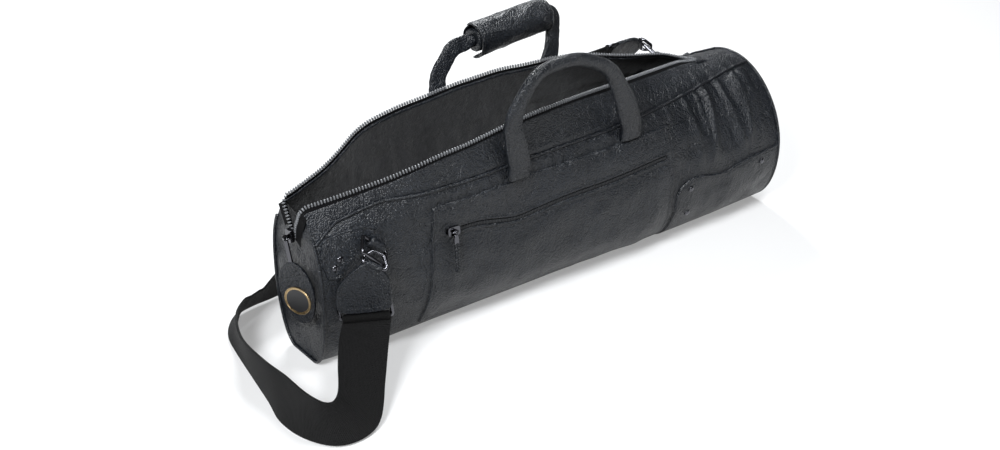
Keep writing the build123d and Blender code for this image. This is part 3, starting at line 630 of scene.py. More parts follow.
def stitch(bm, path, pitch=3.3, length=2.4, width=0.62):
    """Dashes of thread along a path of points, in mm."""
    path = resampled(path, 0.8)
    gap, size = max(int(pitch / 0.8), 3), max(int(length / 0.8), 2)
    for i in range(1, len(path) - size - 1, gap):
        a, b = Vector(path[i]), Vector(path[i + size])
        turn = (b - a).to_track_quat("X", "Z").to_matrix().to_4x4()
        matrix = Matrix.Translation((a + b) / 2 * MM) @ turn @ Matrix.Diagonal(
            ((b - a).length * MM, width * MM, width * MM, 1))
        bmesh.ops.create_icosphere(bm, subdivisions=1, radius=0.5, matrix=matrix)


def sewn(name, body, *paths, **size):
    """A body's rows of stitches, one for each path."""
    bm = bmesh.new()
    for path in paths:
        stitch(bm, path, **size)
    piece(name, to_mesh(bm, name), thread_finish.material, body)


for side, word in ((-1, "front"), (1, "back")):
    bm = bmesh.new()
    stitch(bm, [on_bag(x, 1 - 0.4 / section(x)[-1][1], side, 0.25)[0]
                for x in np.arange(-HALF + 16, ZIP_END - 8, 4.0)])
    name = word + "_lip_thread"
    folding(name, to_mesh(bm, name), thread_finish.material)


def crowded(t):
    """Steps drawn together at both ends."""
    return t - math.sin(2 * math.pi * t) / (2 * math.pi) * 0.82


def patch_point(side, x0, x1, low, high, thick=1.8):
    """A patch on the skin between two edges low(x) and high(x), its rim skived down."""
    def place(u, v):
        x = x0 + (x1 - x0) * crowded(u)
        z = low(x) + (high(x) - low(x)) * crowded(v)
        rim = min(x - x0, x1 - x, z - low(x), high(x) - z)
        off = 0.12 + thick * ramp(rim, -0.1, 1.3) - 0.35 * math.exp(-((rim - 3.2) / 0.9) ** 2)
        return on_side(x, z, side, off)
    return place


def corner_top(x):
    return eased(x, 3, (130, 58), (133, 70), (148, 78), (165, 77), (183, 72.5), (196, 71), (214, 74.5),
                 (235, 77), (274, 79.5))


def stitched_edge(side, points):
    """The line of a patch's stitches, on its face."""
    return [on_side(x, z, side, 1.75) for x, z in points]


for side, word in ((-1, "front"), (1, "back")):
    name = word + "_corner_patch"
    mesh = cloth(name, 100, 60, patch_point(side, 130, HALF - 1, lambda x: 0.0, corner_top), side > 0)
    piece(name, mesh, body_leather, "bag", ("corner_patch_" + word,))
    sewn(name + "_thread", "bag",
         *(stitched_edge(side, [(130 + inset, z) for z in np.linspace(3, 60 - inset, 12)]
                         + [(x, corner_top(x) - inset) for x in np.linspace(137, HALF - 5, 50)])
           for inset in (3.2, 6.4)))


def leaf_low(x):
    return eased(x, 2, (-49, -4), (-47, -22), (-43, -24.5), (-20, -22), (0, -17), (10, -13), (12, -8))


def leaf_high(x):
    return eased(x, 2, (-49, -2), (-46.5, 8), (-42, 14), (-25, 17.5), (-5, 18), (6, 14), (11, 6), (12, 0))


for side, word, (cx, cz), size in ((-1, "front", (-226.5, 122), 1.0), (1, "back", (214, 150), 0.75)):
    name = word + "_ring_patch"
    lead = -side                     # the leaf points away from the bag's middle

    def leaf_edge(shape, x, cx=cx, cz=cz, size=size, lead=lead):
        z = cz + size * shape(lead * (x - cx) / size)
        return z if lead > 0 else min(z, SEAM - 3.5)
    x0, x1 = sorted((cx - 49 * size * lead, cx + 12 * size * lead))
    mesh = cloth(name, 64, 44, patch_point(side, x0, x1, lambda x: leaf_edge(leaf_low, x),
                                           lambda x: leaf_edge(leaf_high, x)), side > 0)
    piece(name, mesh, body_leather, "bag", ("ring_patch_" + word,))
    xs = np.linspace(x0 + 4, x1 - 4, 40)
    ring = [(x, leaf_edge(leaf_low, x) + 3.2) for x in xs]
    ring += [(x, leaf_edge(leaf_high, x) - 3.2) for x in xs[::-1]]
    sewn(name + "_thread", "bag", stitched_edge(side, ring + ring[:1]))

# ---- Rivets -------------------------------------------------------------------------------------
# Domed rivets of dark nickel through the patches, each a spun cap with a rolled edge. Three hold
# each corner patch, and two hold the leaf under the strap's front ring.
nickel = Shader("dark polished nickel", Base_Color=(0.10, 0.10, 0.11, 1), Metallic=1.0, Roughness=0.2)
nickel.to("Roughness", nickel.spread(nickel.noise(240, 4.0, 0.6), 0.3, 0.75, 0.14, 0.3))
nickel.bumps((nickel.noise(900, 3.0), 0.00002))


def cap(bm, at, out, radius=3.2, rise=1.7):
    """One rivet cap, spun about the way out."""
    profile = [(0, rise), (0.35, 0.97 * rise), (0.65, 0.82 * rise), (0.86, 0.52 * rise), (1.0, 0.3 * rise),
               (1.02, 0.1 * rise), (0.95, -0.6)]
    place = Matrix.Translation(at * MM) @ out.to_track_quat("Z", "Y").to_matrix().to_4x4()
    verts = [bm.verts.new(place @ Vector((r * radius * MM, 0, z * MM))) for r, z in profile]
    edges = [bm.edges.new(pair) for pair in zip(verts, verts[1:])]
    bmesh.ops.spin(bm, geom=verts + edges, cent=at * MM, axis=out, angle=2 * math.pi, steps=20,
                   use_merge=True)


def rivets(name, places, instead):
    """A set of rivets on the skin's patches, each at (side, x, height)."""
    bm = bmesh.new()
    for side, x, z in places:
        cap(bm, *on_bag(x, share_at(x, z), side, 2.0))
    bmesh.ops.remove_doubles(bm, verts=bm.verts, dist=1e-6)
    bmesh.ops.recalc_face_normals(bm, faces=bm.faces)
    piece(name, to_mesh(bm, name), nickel.material, "bag", instead)


rivets("corner_rivets", [(side, x, z) for side in (-1, 1) for x, z in ((148, 66), (150, 35), (252, 67))],
       ("corner_patch_rivets",))
rivets("ring_rivets", [(-1, -259, 116), (-1, -265, 109)], ("ring_patch_rivets",))

# ---- Pocket -------------------------------------------------------------------------------------
# A flat pocket on the front: one panel of leather sewn down round its edge and slit for a coil zip
# that sags between its ends, with a double row of stitches along the slit and the edges.
POCKET_LOW, POCKET_TOP, SLIT = 14.0, 142.0, 2.3
POCKET_COIL = (1.0, 3.2, 1.2)


def pocket_zip(x):
    return 110 + eased(x, 8, (-152, 3), (-118, 1), (-75, -9), (-17, -4), (42, -3), (93, 1), (116, 2))


def pocket_left(z):
    return eased(z, 3, (14, -177), (32, -174), (59, -170), (104, -169), (142, -167))


def pocket_right(z):
    return eased(z, 3, (14, 124), (70, 122), (108, 125), (142, 127))


LOWER = [crowded(t) for t in np.linspace(0, 1, 44)]
UPPER = [crowded(t) for t in np.linspace(0, 1, 20)]
POCKET_ROWS = [(0, t) for t in LOWER] + [(1, t) for t in (0.02, 0.5, 0.98)] + [(2, t) for t in UPPER]


def pocket_point(u, v):
    part, t = POCKET_ROWS[round(v * (len(POCKET_ROWS) - 1))]
    along = crowded(u)
    guess = -170 + 296 * along
    slit = pocket_zip(guess)
    z = (POCKET_LOW + (slit - SLIT - POCKET_LOW) * t, slit - SLIT + 2 * SLIT * t,
         slit + SLIT + (POCKET_TOP - slit - SLIT) * t)[part]
    x0, x1 = pocket_left(z), pocket_right(z)
    x = x0 + (x1 - x0) * along
    rim = min(x - x0, x1 - x, z - POCKET_LOW, POCKET_TOP - z)
    off = 0.12 + 1.85 * ramp(rim, -0.1, 1.3) - 0.3 * math.exp(-((rim - 3.4) / 0.9) ** 2)
    inside = ramp(x, -153.5, -151.5) * ramp(115.5 - x, 0, 2)
    to_slit = abs(z - slit) - SLIT
    if part == 1:
        off = off * (1 - inside) + 0.25 * inside
    else:
        lip = 0.6 * math.exp(-((to_slit - 1.7) / 1.4) ** 2)
        sunk = 0.5 * math.exp(-((to_slit - 4.6) / 0.9) ** 2) + 0.5 * math.exp(-(to_slit / 0.6) ** 2)
        off += (lip - sunk) * inside
    slack = ramp(rim, 3, 26) * ramp(to_slit if part == 0 else 0, 3, 26)
    off += slack * (2.2 + 1.3 * noise.noise(Vector((x * 0.013, z * 0.02, 11.0))))
    return on_side(x, z, -1, off)


pocket = cloth("pocket_panel", 220, len(POCKET_ROWS) - 1, pocket_point)
folding("pocket_panel", pocket, body_leather, ("pocket_lower", "pocket_upper"),
        only=("middle", "bell"))

slit_rows = [[on_side(x, pocket_zip(x) + t * (SLIT + 0.3), -1, 0.75 - 0.2 * abs(t))
              for t in (-1, -0.5, 0, 0.5, 1)] for x in np.linspace(-152.5, 114.5, 160)]
folding("pocket_zip_tape", lofted("pocket_zip_tape", slit_rows), tape_finish.material,
        ("pocket_zip_tape",), only=("middle", "bell"))
dark_coil = Shader("dark nylon coil", Base_Color=(0.022, 0.023, 0.025, 1), Roughness=0.4,
                   Specular_IOR_Level=0.4)
dark_coil.to("Roughness", dark_coil.spread(dark_coil.noise(700), 0.3, 0.7, 0.3, 0.5))
line = [on_side(x, pocket_zip(x), -1, 1.5) for x in np.linspace(-150, 112, 140)]
line = [Vector(p) for p in resampled(line, 1.75)]
loops = coil("pocket_zip_coil", line, lambda i: Vector((0, 0, 1)), POCKET_COIL, 0.25)
folding("pocket_zip_coil", loops, dark_coil.material, ("pocket_zip_teeth",),
        only=("middle", "bell"))

bm = bmesh.new()
zs = np.linspace(POCKET_LOW + 3, POCKET_TOP - 3, 30)
for inset in (3.4, 7.0):
    stitch(bm, [on_side(pocket_right(z) - inset, z, -1, 1.9) for z in zs])
    stitch(bm, [on_side(pocket_left(z) + inset, z, -1, 1.9) for z in zs])
stitch(bm, [on_side(x, POCKET_TOP - 3.4, -1, 1.9) for x in np.linspace(-164, 122, 90)])
for t in (SLIT + 4.4, -SLIT - 4.4):
    stitch(bm, [on_side(x, pocket_zip(x) + t, -1, 1.85) for x in np.linspace(-155, 117, 90)])
for x in (-155.5, 117.5):
    stitch(bm, [on_side(x, pocket_zip(x) + t, -1, 1.85) for t in np.linspace(-7, 7, 6)])
folding("pocket_thread", to_mesh(bm, "pocket_thread"), thread_finish.material,
        only=("middle", "bell"))

# ---- Handles ------------------------------------------------------------------------------------
# Each handle is a strap of leather, stitched down flat at its two feet. The front one is rolled
# round a cord between them, with a seam on the underside; the back one is flat up to the grip.


def filleted(points, radii):
    """A path through corners, each rounded off with its own radius."""
    made = [Vector(points[0])]
    for (a, b, c), r in zip(zip(points, points[1:], points[2:]), radii):
        a, b, c = Vector(a), Vector(b), Vector(c)
        back, on = (a - b).normalized(), (c - b).normalized()
        reach = r * math.tan((math.pi - back.angle(on)) / 2)
        p, q = b + back * reach, b + on * reach
        made += [p * (1 - t) ** 2 + b * 2 * t * (1 - t) + q * t ** 2 for t in np.linspace(0, 1, 14)]
    return made + [Vector(points[-1])]


def axes(at, x_dir, y_dir, z_dir):
    """A place with its own axes."""
    return Matrix.Translation(at) @ Matrix((x_dir, y_dir, z_dir)).transposed().to_4x4()


def handle_frame(joint, side, lean):
    """The handle's own plane: X from foot to foot along its hinge, Y up, Z square to the arch."""
    x_dir = (Vector(joints[joint]["axis"]) * -side).normalized()
    up = Vector((0, side * math.sin(math.radians(lean)), math.cos(math.radians(lean))))
    z_dir = x_dir.cross(up).normalized()
    return axes(Vector(joints[joint]["pos_m"]) / MM, x_dir, z_dir.cross(x_dir), z_dir)


def sealed(bm, name):
    """Weld the seam of a sleeve, close its ends and point its faces outwards."""
    bmesh.ops.remove_doubles(bm, verts=bm.verts, dist=2e-6)
    bmesh.ops.holes_fill(bm, edges=bm.edges, sides=0)
    bmesh.ops.recalc_face_normals(bm, faces=bm.faces)
    return to_mesh(bm, name)


def sleeve(name, along, around, place):
    """A sheet whose two long edges meet, as a closed solid."""
    return sealed(fine_grid(along, around, place), name)


def powered(value, power):
    """A power that keeps the sign, which squares off a circle below 1."""
    return math.copysign(abs(value) ** power, value)


FOOT_RISE = 0.4              # the flat feet stand off the skin by this much more
STEP = 1.5                   # between a strap's rows, along it


def rolled(d):
    """Front strap, a distance d up from its foot: how flat, half its width, half its thickness."""
    flat = 1 - ramp(d, 26, 128)
    return flat, 6.3 + 5.7 * flat, 5.4 - 2.3 * flat


def strapped(d):
    """Back strap: flat up to the grip, and rolled inside it."""
    flat = 1 - ramp(d, 106, 118)
    return flat, 5.7 + (2.6 + 3.7 * (1 - ramp(d, 14, 70))) * flat, 5.2 - 2.6 * flat


def handle_maker(place, path, seed, outward, girth, fullness):
    """One handle: where its leather goes, its number of rows, and its stitches."""
    path = resampled([(*p, 0) for p in path], STEP)
    last = len(path) - 1

    def at(i):
        here = Vector(path[min(max(i, 0), last)])
        ahead = (Vector(path[min(i + 1, last)]) - Vector(path[max(i - 1, 0)])).normalized()
        return here, Vector((-ahead.y, ahead.x, 0))

    def girth_at(i):
        return girth(min(i, last - i) * STEP)

    def point(u, v):
        i = round(u * last)
        here, out = at(i)
        flat, a, b = girth_at(i)
        turn = 2 * math.pi * v
        power = 1 - fullness * flat
        c, s = powered(math.cos(turn), power), powered(math.sin(turn), power)
        ridge = 1.1 * math.exp(-((turn - math.pi) / 0.16) ** 2) * (1 - flat)
        x, y = math.cos(turn), math.sin(turn)
        ripple = 1 + 0.05 * noise.noise(Vector((i * 0.11, x, seed + y))) \
            + 0.04 * noise.noise(Vector((i * 0.45, 2 * x, seed + 2 * y)))
        height = b * s * ripple + outward * FOOT_RISE * flat
        return place @ (here + out * (a * c * ripple - ridge) + Vector((0, 0, height)))

    def beside(i, across, height):
        """A point off the strap's line at row i."""
        here, out = at(i)
        return place @ (here + out * across + Vector((0, 0, height)))

    threads = bmesh.new()
    middle = [i for i in range(last + 1) if girth_at(i)[0] < 0.45]
    for tilt in (0.42, -0.42):
        stitch(threads, [beside(i, -5.6 * math.cos(tilt), 5.6 * math.sin(tilt)) for i in middle])
    feet = [i for i in range(last + 1) if girth_at(i)[0] > 0.5]
    for foot in (feet[1:len(feet) // 2], feet[len(feet) // 2:-1]):
        for edge in (-1, 1):
            stitch(threads, [beside(i, edge * (girth_at(i)[1] - 2.9),
                                    outward * (girth_at(i)[2] + FOOT_RISE - 0.2)) for i in foot])
        low = foot[1] if foot[0] < last / 2 else foot[-2]
        stitch(threads, [beside(low, t, outward * (girth(3)[2] + FOOT_RISE - 0.1))
                         for t in np.linspace(-9, 9, 8)])
    return point, last, threads


SPACING = 70.0               # half the distance between a handle's feet
front_arch = handle_frame("front_handle_swing", -1, 9)
LEFT_FOOT, RIGHT_FOOT = [(-SPACING, -3), (-SPACING, 12)], [(SPACING, 12), (SPACING, -3)]
front_path = filleted(LEFT_FOOT + [(-86, 66), (-62, 112), (-14, 113), (28, 92), (53, 50)] + RIGHT_FOOT,
                      (20, 40, 34, 60, 60, 80, 20))
back_arch = handle_frame("back_handle_swing", 1, 20)
back_path = filleted(LEFT_FOOT + [(-60, 54), (-34, 77), (102, 84), (90, 48)] + RIGHT_FOOT,
                     (20, 30, 24, 9, 60, 20))
for word, place, path, outward, girth, fullness in (("front", front_arch, front_path, 1, rolled, 0.35),
                                                    ("back", back_arch, back_path, -1, strapped, 0.55)):
    name = word + "_handle_strap"
    point, count, threads = handle_maker(place, path, 3.0 + outward, outward, girth, fullness)
    body = word + "_handle"
    piece(name, sleeve(name, count, 28, point), body_leather, body, (body,))
    piece(name + "_thread", to_mesh(threads, name + "_thread"), thread_finish.material, body)

# ---- Grip ---------------------------------------------------------------------------------------
# A padded leather sleeve round the back handle can hold both handles together. A stitched panel is
# wrapped round most of it, and a flap laps over the rest and opens.
GRIP_LENGTH = 96


def middle_of(node):
    low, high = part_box(node)
    return (Vector(low) + Vector(high)) / 2 / MM


def ring_profile(length, outer, inner, soft=1.6):
    """The wall of a tube as a closed loop of (along, radius)."""
    h = length / 2
    right = [(h / 2, outer), (h - soft, outer), (h - 0.4 * soft, outer - 0.4 * soft), (h, outer - soft),
             (h, inner + 0.4), (h - 0.5, inner)]
    left = [(-along, radius) for along, radius in reversed(right)]
    return [left[-2], left[-1], (0, outer), *right, (0, inner), *left[:-1]]


def barrel(name, place, length, outer, inner, around=32, fold=None, fine=1.2):
    """A rolled sleeve of leather about X, its edges soft."""
    rows = resampled([(a, r, 0) for a, r in ring_profile(length, outer, inner)], fine)

    def point(u, v):
        along, radius, _ = rows[round(u * (len(rows) - 1))]
        turn = 2 * math.pi * v
        if fold:
            radius += fold(along, radius, turn)
        return place @ Vector((along, radius * math.cos(turn), radius * math.sin(turn)))
    return sleeve(name, len(rows) - 1, around, point)


grip_x = (Vector(joints["grip_flap_open"]["axis"]) * -1).normalized()
grip_z = back_arch.to_3x3().col[2].normalized()
grip_place = axes(middle_of("grip_wrap"), grip_x, grip_z.cross(grip_x), grip_z)


def grip_fold(along, radius, turn):
    if radius < 8:
        return 0
    lump = noise.noise(Vector((along * 0.05, 2 * math.cos(turn), 2 * math.sin(turn))))
    return min(math.sin(turn * 3 + 0.05 * along) * 0.5 + 0.9 * lump, 0.6)


mesh = barrel("grip_sleeve", grip_place, GRIP_LENGTH, 12.6, 6.1, 56, grip_fold)
piece("grip_sleeve", mesh, body_leather, "back_handle", ("grip_wrap",))


def wrapped(start, arc, radius, thick, lift):
    """A leaf of leather rolled about the grip, its section a closed loop, its ends skived."""
    def point(u, v):
        along = GRIP_LENGTH * (u - 0.5)
        end = ramp(min(u, 1 - u), 0, 0.025)
        half = 0.5 if v < 0.5 else -0.5
        t = v * 2 if v < 0.5 else 2 - v * 2
        wave = 0.1 * noise.noise(Vector((along * 0.05, 0, 8)))
        turn = math.radians(start) + (math.radians(arc) + wave) * t
        rim = min(t, 1 - t)
        skived = thick * (0.35 + 0.65 * end) * (0.45 + 0.55 * ramp(rim, 0, 0.05))
        out = radius + half * skived + lift(u, t, along, turn)
        return grip_place @ Vector((along, out * math.cos(turn), out * math.sin(turn)))
    return point


def flap_lift(u, t, along, turn):
    return max(0.4 * noise.noise(Vector((along * 0.06, 2 * turn, 2.0))), 0) + 0.15


def panel_lift(u, t, along, turn):
    """The panel swells over its padding, dips at its stitches and curls open at the low corner."""
    swell = 1.8 * math.sin(math.pi * t) * (0.6 + 0.4 * math.sin(math.pi * u))
    crumple = 0.9 * ridged(along * 0.03, 1.6 * turn, 2.5)
    crumple += 0.6 * noise.noise(Vector((along * 0.05, 2 * turn, 6.0)))
    curl = 2.6 * ramp(t, 0.6, 1.0) * (1 - ramp(u, 0.0, 0.3))
    rim = min(min(u, 1 - u) * GRIP_LENGTH, min(t, 1 - t) * 52)
    hem = 0.7 * math.exp(-((rim - 1.2) / 1.1) ** 2) - 0.5 * math.exp(-((rim - 3.4) / 0.9) ** 2)
    return swell + crumple + curl + hem


cover = wrapped(255, 97, 14.3, 2.2, flap_lift)
panel = wrapped(348, 214, 15.6, 2.4, panel_lift)
piece("grip_cover", sleeve("grip_cover", 80, 96, cover), body_leather, "grip_flap",
      ("grip_flap",))
piece("grip_panel", sleeve("grip_panel", 110, 150, panel), body_leather, "back_handle",
      ("grip_wrap",))
(u0, u1), (v0, v1) = (0.035, 0.965), (0.034, 0.466)
rim = [(u, v0) for u in np.linspace(u0, u1, 40)] + [(u1, v) for v in np.linspace(v0, v1, 20)]
rim += [(u, v1) for u in np.linspace(u1, u0, 40)] + [(u0, v) for v in np.linspace(v1, v0, 20)]
sewn("grip_panel_thread", "back_handle", [panel(*at) for at in rim])

# ---- Strap rings, tubes and chapes --------------------------------------------------------------
# A tube of leather holds a thin ring against its patch. A polished ring links that to a chape: two
# leaves of leather folded round the ring and stitched over the wire loop that takes the webbing.
# The front end's places are counted from the middle of its ring, in mm.
CHAPE_AT = Vector((-14.7, -17.8, -8.2))
CHAPE_X = Vector((0.777, -0.629, 0)).normalized()
CHAPE_OUT = Vector((-0.629, -0.777, 0)).normalized()
RING_ALONG = Vector((0.667, -0.205, -0.718)).normalized()
UP = Vector((0, 0, 1))
front_place = Matrix.Translation(middle_of("ring_loop_front"))
lean = math.radians(30)
there = axes(middle_of("ring_loop_back"), Vector((0, -math.sin(lean), math.cos(lean))),
             Vector((0, -math.cos(lean), -math.sin(lean))), Vector((1, 0, 0)))
here = axes(Vector(), CHAPE_X, UP.cross(CHAPE_X), UP)
back_place = there @ here.inverted()
chape_plane = axes(CHAPE_AT, CHAPE_X, CHAPE_OUT.cross(CHAPE_X), CHAPE_OUT)
CHAPE = [(-8, 3.9), (8, -3.9), (13.5, -14), (15, -26), (14.6, -45.5), (-35.2, -51.4), (-36, -32),
         (-32.5, -20), (-20, -6)]


def softened(outline, times=2):
    """Cut the corners of a closed outline."""
    for _ in range(times):
        outline = [q for a, b in zip(outline, outline[1:] + outline[:1])
                   for q in ((0.8 * a[0] + 0.2 * b[0], 0.8 * a[1] + 0.2 * b[1]),
                             (0.2 * a[0] + 0.8 * b[0], 0.2 * a[1] + 0.8 * b[1]))]
    return outline


def plate(name, place, outline, thick, edge=0.7):
    """A flat cut piece of leather with rounded edges."""
    bm = bmesh.new()
    face = bm.faces.new([bm.verts.new(Vector((x, y, -thick / 2)) * MM) for x, y in outline])
    made = bmesh.ops.extrude_face_region(bm, geom=[face])["geom"]
    bmesh.ops.translate(bm, vec=(0, 0, thick * MM),
                        verts=[v for v in made if isinstance(v, bmesh.types.BMVert)])
    bmesh.ops.recalc_face_normals(bm, faces=bm.faces)
    rims = [e for e in bm.edges if abs(e.verts[0].co.z - e.verts[1].co.z) < 1e-6]
    bmesh.ops.bevel(bm, geom=rims, offset=edge * MM, segments=3, profile=0.5, affect="EDGES", material=-1)
    bmesh.ops.scale(bm, vec=(1 / MM,) * 3, verts=bm.verts)
    bmesh.ops.transform(bm, matrix=place, verts=bm.verts)
    bmesh.ops.scale(bm, vec=(MM,) * 3, verts=bm.verts)
    mesh = to_mesh(bm, name)
    for polygon in mesh.polygons:
        polygon.use_smooth = len(polygon.vertices) < 6
    return mesh


def joined(name, *meshes):
    """Several meshes as one."""
    bm = bmesh.new()
    for mesh in meshes:
        bm.from_mesh(mesh)
        bpy.data.meshes.remove(mesh)
    made = bpy.data.meshes.new(name)
    bm.to_mesh(made)
    bm.free()
    return made


def turned(x, y, degrees):
    return Matrix.Translation((x, y, 0)) @ Matrix.Rotation(math.radians(degrees), 4, "Z")


def tube_crease(along, radius, turn):
    if radius < 3:
        return 0
    return 0.35 * noise.noise(Vector((along * 0.2, math.cos(turn), math.sin(turn)))) - 0.1


ring_across = RING_ALONG.cross(UP).normalized()
ring_axes = axes(Vector(), RING_ALONG, ring_across, RING_ALONG.cross(ring_across))
for word, place in (("front", front_place), ("back", back_place)):
    roll = barrel(word + "_ring_tube", place @ ring_axes, 18.5, 5.5, 2.05, 30, tube_crease)
    piece(word + "_ring_tube", roll, body_leather, "bag", ("ring_loop_" + word,))
    flat = place @ chape_plane
    leaf = joined(word + "_chape", plate("leaf", flat, softened(CHAPE), 4.2),
                  barrel("fold", flat @ turned(0, 0, -26), 16.4, 3.2, 2.05, 24))
    piece(word + "_chape", leaf, body_leather, "bag", ("chape_" + word,))
    rim = [Vector((x * 0.84 - 1.6, (y + 18) * 0.84 - 18)) for x, y in softened(CHAPE)]
    sewn("chape_thread_" + word, "bag",
         *([flat @ Vector((p.x, p.y, face)) for p in rim + rim[:1]] for face in (2.15, -2.15)))
    for start in ("ring_", "strap_ring_", "strap_loop_"):
        frame["nodes"][start + word].material_slots[0].material = nickel.material

# ---- Webbing strap ------------------------------------------------------------------------------
# Heavy black webbing, 45 mm wide, folded over the wire loop and sewn. It hangs to the floor, turns
# on its edge round the narrow end, lies along the back and climbs to the bell end's ring.
WEBBING = [
    ((-245, -93, 40), (-279, -65, 47)), ((-262, -112, 24), (-294, -86, 41)),
    ((-284, -136, 6), (-309, -109, 33)), ((-306, -144, 1.5), (-325, -126, 38)),
    ((-330, -138, 1.5), (-336, -128, 45)), ((-346, -112, 1.5), (-340, -108, 45.5)),
    ((-350, -80, 1.5), (-340, -76, 45)), ((-343, -48, 1.5), (-343, -45, 46)),
    ((-335, -4, 1.5), (-341, -2, 46)), ((-328, 36, 1.5), (-326, 35, 46)),
    ((-322, 64, 1.5), (-306, 57, 43)), ((-312, 83, 1.5), (-293, 66, 38)),
    ((-296, 98, 1.5), (-282, 72, 36)), ((-276, 103, 1.5), (-275, 74, 36)),
    ((-252, 104, 1.5), (-254, 83, 42)), ((-200, 110, 1.5), (-201, 107, 46)),
    ((-130, 117, 1.5), (-131, 119, 46)), ((-60, 116, 3), (-66, 115, 47)),
    ((0, 111, 22), (-22, 110, 61)), ((48, 107, 60), (20, 106, 95)),
    ((88, 103, 95), (62, 99, 132)), ((120, 97, 121), (105, 88, 162))]


def flowing(points, each=8):
    """A smooth line through points, with each steps between two of them."""
    pts = [np.array(p, float) for p in points]
    pts = [2 * pts[0] - pts[1], *pts, 2 * pts[-1] - pts[-2]]
    made = []
    for a, b, c, d in zip(pts, pts[1:], pts[2:], pts[3:]):
        for t in np.linspace(0, 1, each, endpoint=False):
            made.append(0.5 * (2 * b + (c - a) * t + (2 * a - 5 * b + 4 * c - d) * t * t
                               + (3 * b - a - 3 * c + d) * t ** 3))
    return made + [pts[-2]]


webbing = Shader("black webbing", Base_Color=(0.006, 0.0058, 0.006, 1), Roughness=0.7,
                 Specular_IOR_Level=0.2)
woven = webbing.node("Mapping", {"Vector": webbing.tree.nodes["Texture Coordinate"].outputs["UV"],
                                 "Scale": (320.0, 22.0, 1.0)})
ribs = webbing.node("TexWave", {"Vector": woven, "Scale": 0.5, "Distortion": 0.0}, bands_direction="Y")
picks = webbing.node("TexWave", {"Vector": woven, "Scale": 0.5, "Distortion": 0.4}, bands_direction="X")
webbing.bumps((ribs, 0.0007), (picks, 0.0005), (webbing.noise(1400, 2), 0.0001))
# Painted shade: the colour follows the rib bump, darker in the grooves and lighter on the crests.
webbing.to("Base Color", webbing.mix(ribs, (0.003, 0.003, 0.0032, 1), (0.0095, 0.0092, 0.0095, 1)))

loop_place = chape_plane @ turned(-10.8, -39.9, 187)
ends = []
for place, hand in ((front_place, 1), (back_place, -1)):
    ends.append([place @ loop_place @ Vector((x * hand, 17.2, 0)) for x in (-22.3, 22.3)])
pairs = [ends[0]] + WEBBING + [ends[1]]
lower, upper = flowing([a for a, _ in pairs]), flowing([b for _, b in pairs])
strap_rows = resampled([[*a, *b] for a, b in zip(lower, upper)], 4.0)
rows = [[Vector(r[:3]).lerp(Vector(r[3:]), t) for t in np.linspace(0, 1, 9)] for r in strap_rows]
mesh = lofted("strap", rows)
bm = bmesh.new()
bm.from_mesh(mesh)
bmesh.ops.solidify(bm, geom=bm.faces, thickness=2.2 * MM)
bmesh.ops.bevel(bm, geom=[e for e in bm.edges if e.calc_face_angle(0) > 1.2], offset=0.5 * MM, segments=2,
                profile=0.5, affect="EDGES", material=-1)
strap = piece("strap", to_mesh(bm, "strap"), webbing.material, "bag", ("strap_webbing",))
for place, word in ((front_place, "front"), (back_place, "back")):
    fold_place = place @ loop_place @ Matrix.Translation((0, 14, 0))
    fold = barrel("strap_fold_" + word, fold_place, 44.6, 4.3, 2.0, 24)
    piece("strap_fold_" + word, fold, webbing.material, "bag", ("strap_webbing",))

# ---- Sliders, pulls and tag ---------------------------------------------------------------------
# Sliders of dark nickel. The mouth's slider carries a long pull with an oval leather tag, which has
# a plate of black enamel in a gilt rim; the pocket's carries a braided leather lace.
for node in ("main_slider", "main_pull", "pocket_slider"):
    frame["nodes"][node].material_slots[0].material = nickel.material

tilt = math.radians(15)
tag_place = axes(Vector(joints["tag_swing"]["pos_m"]) / MM, Vector((0, math.cos(tilt), -math.sin(tilt))),
                 Vector((0, -math.sin(tilt), -math.cos(tilt))), Vector((-1, 0, 0)))
TAG_TWIST, TAG_AT, TAG_W, TAG_H = -16, 53.0, 21.5, 30.0
tag_place = tag_place @ Matrix.Rotation(math.radians(TAG_TWIST), 4, "Y")
egg = [(TAG_W * math.cos(a) * (1 - 0.06 * math.sin(a)), TAG_H * math.sin(a))
       for a in np.linspace(0, 2 * math.pi, 64, endpoint=False)]
tag = plate("tag_leather", tag_place @ Matrix.Translation((0, TAG_AT, 0)), egg, 3.0, 0.9)
piece("tag_leather", tag, body_leather, "tag_pull", ("tag",))
sewn("tag_thread", "tag_pull", *([tag_place @ Vector((x * 0.87, TAG_AT + y * 0.9, face))
                                  for x, y in egg + egg[:1]] for face in (1.5, -1.5)),
     pitch=2.8, length=2.0, width=0.5)

gilt = Shader("satin gilt", Base_Color=(0.42, 0.31, 0.17, 1), Metallic=1.0, Roughness=0.36)
gilt.to("Roughness", gilt.spread(gilt.noise(500, 4.0, 0.6), 0.3, 0.7, 0.24, 0.42))
gilt.bumps((gilt.noise(60, 3.0), 0.0003), (gilt.noise(1500, 3.0), 0.00003))
PLATE, PLATE_UP = (16.4, 13.4), 7    # the oval's two radii, and how far its middle is below the tag's
bm = bmesh.new()
bmesh.ops.create_circle(bm, segments=64, radius=1, cap_ends=True)
bmesh.ops.scale(bm, vec=(*PLATE, 1), verts=bm.verts)
made = bmesh.ops.extrude_face_region(bm, geom=list(bm.faces))["geom"]
bmesh.ops.translate(bm, vec=(0, 0, 0.9), verts=[v for v in made if isinstance(v, bmesh.types.BMVert)])
top = [f for f in bm.faces if len(f.verts) > 20 and f.calc_center_median().z > 0.5]
for width, drop in ((0.3, 0.25), (0.45, 0.0), (0.3, -0.5), (1.4, 0.0)):
    bmesh.ops.inset_region(bm, faces=top, thickness=width, depth=0)
    bmesh.ops.translate(bm, vec=(0, 0, drop), verts=top[0].verts)
bmesh.ops.recalc_face_normals(bm, faces=bm.faces)
bmesh.ops.transform(bm, matrix=tag_place @ Matrix.Translation((0, TAG_AT + PLATE_UP, 1.5)),
                    verts=bm.verts)
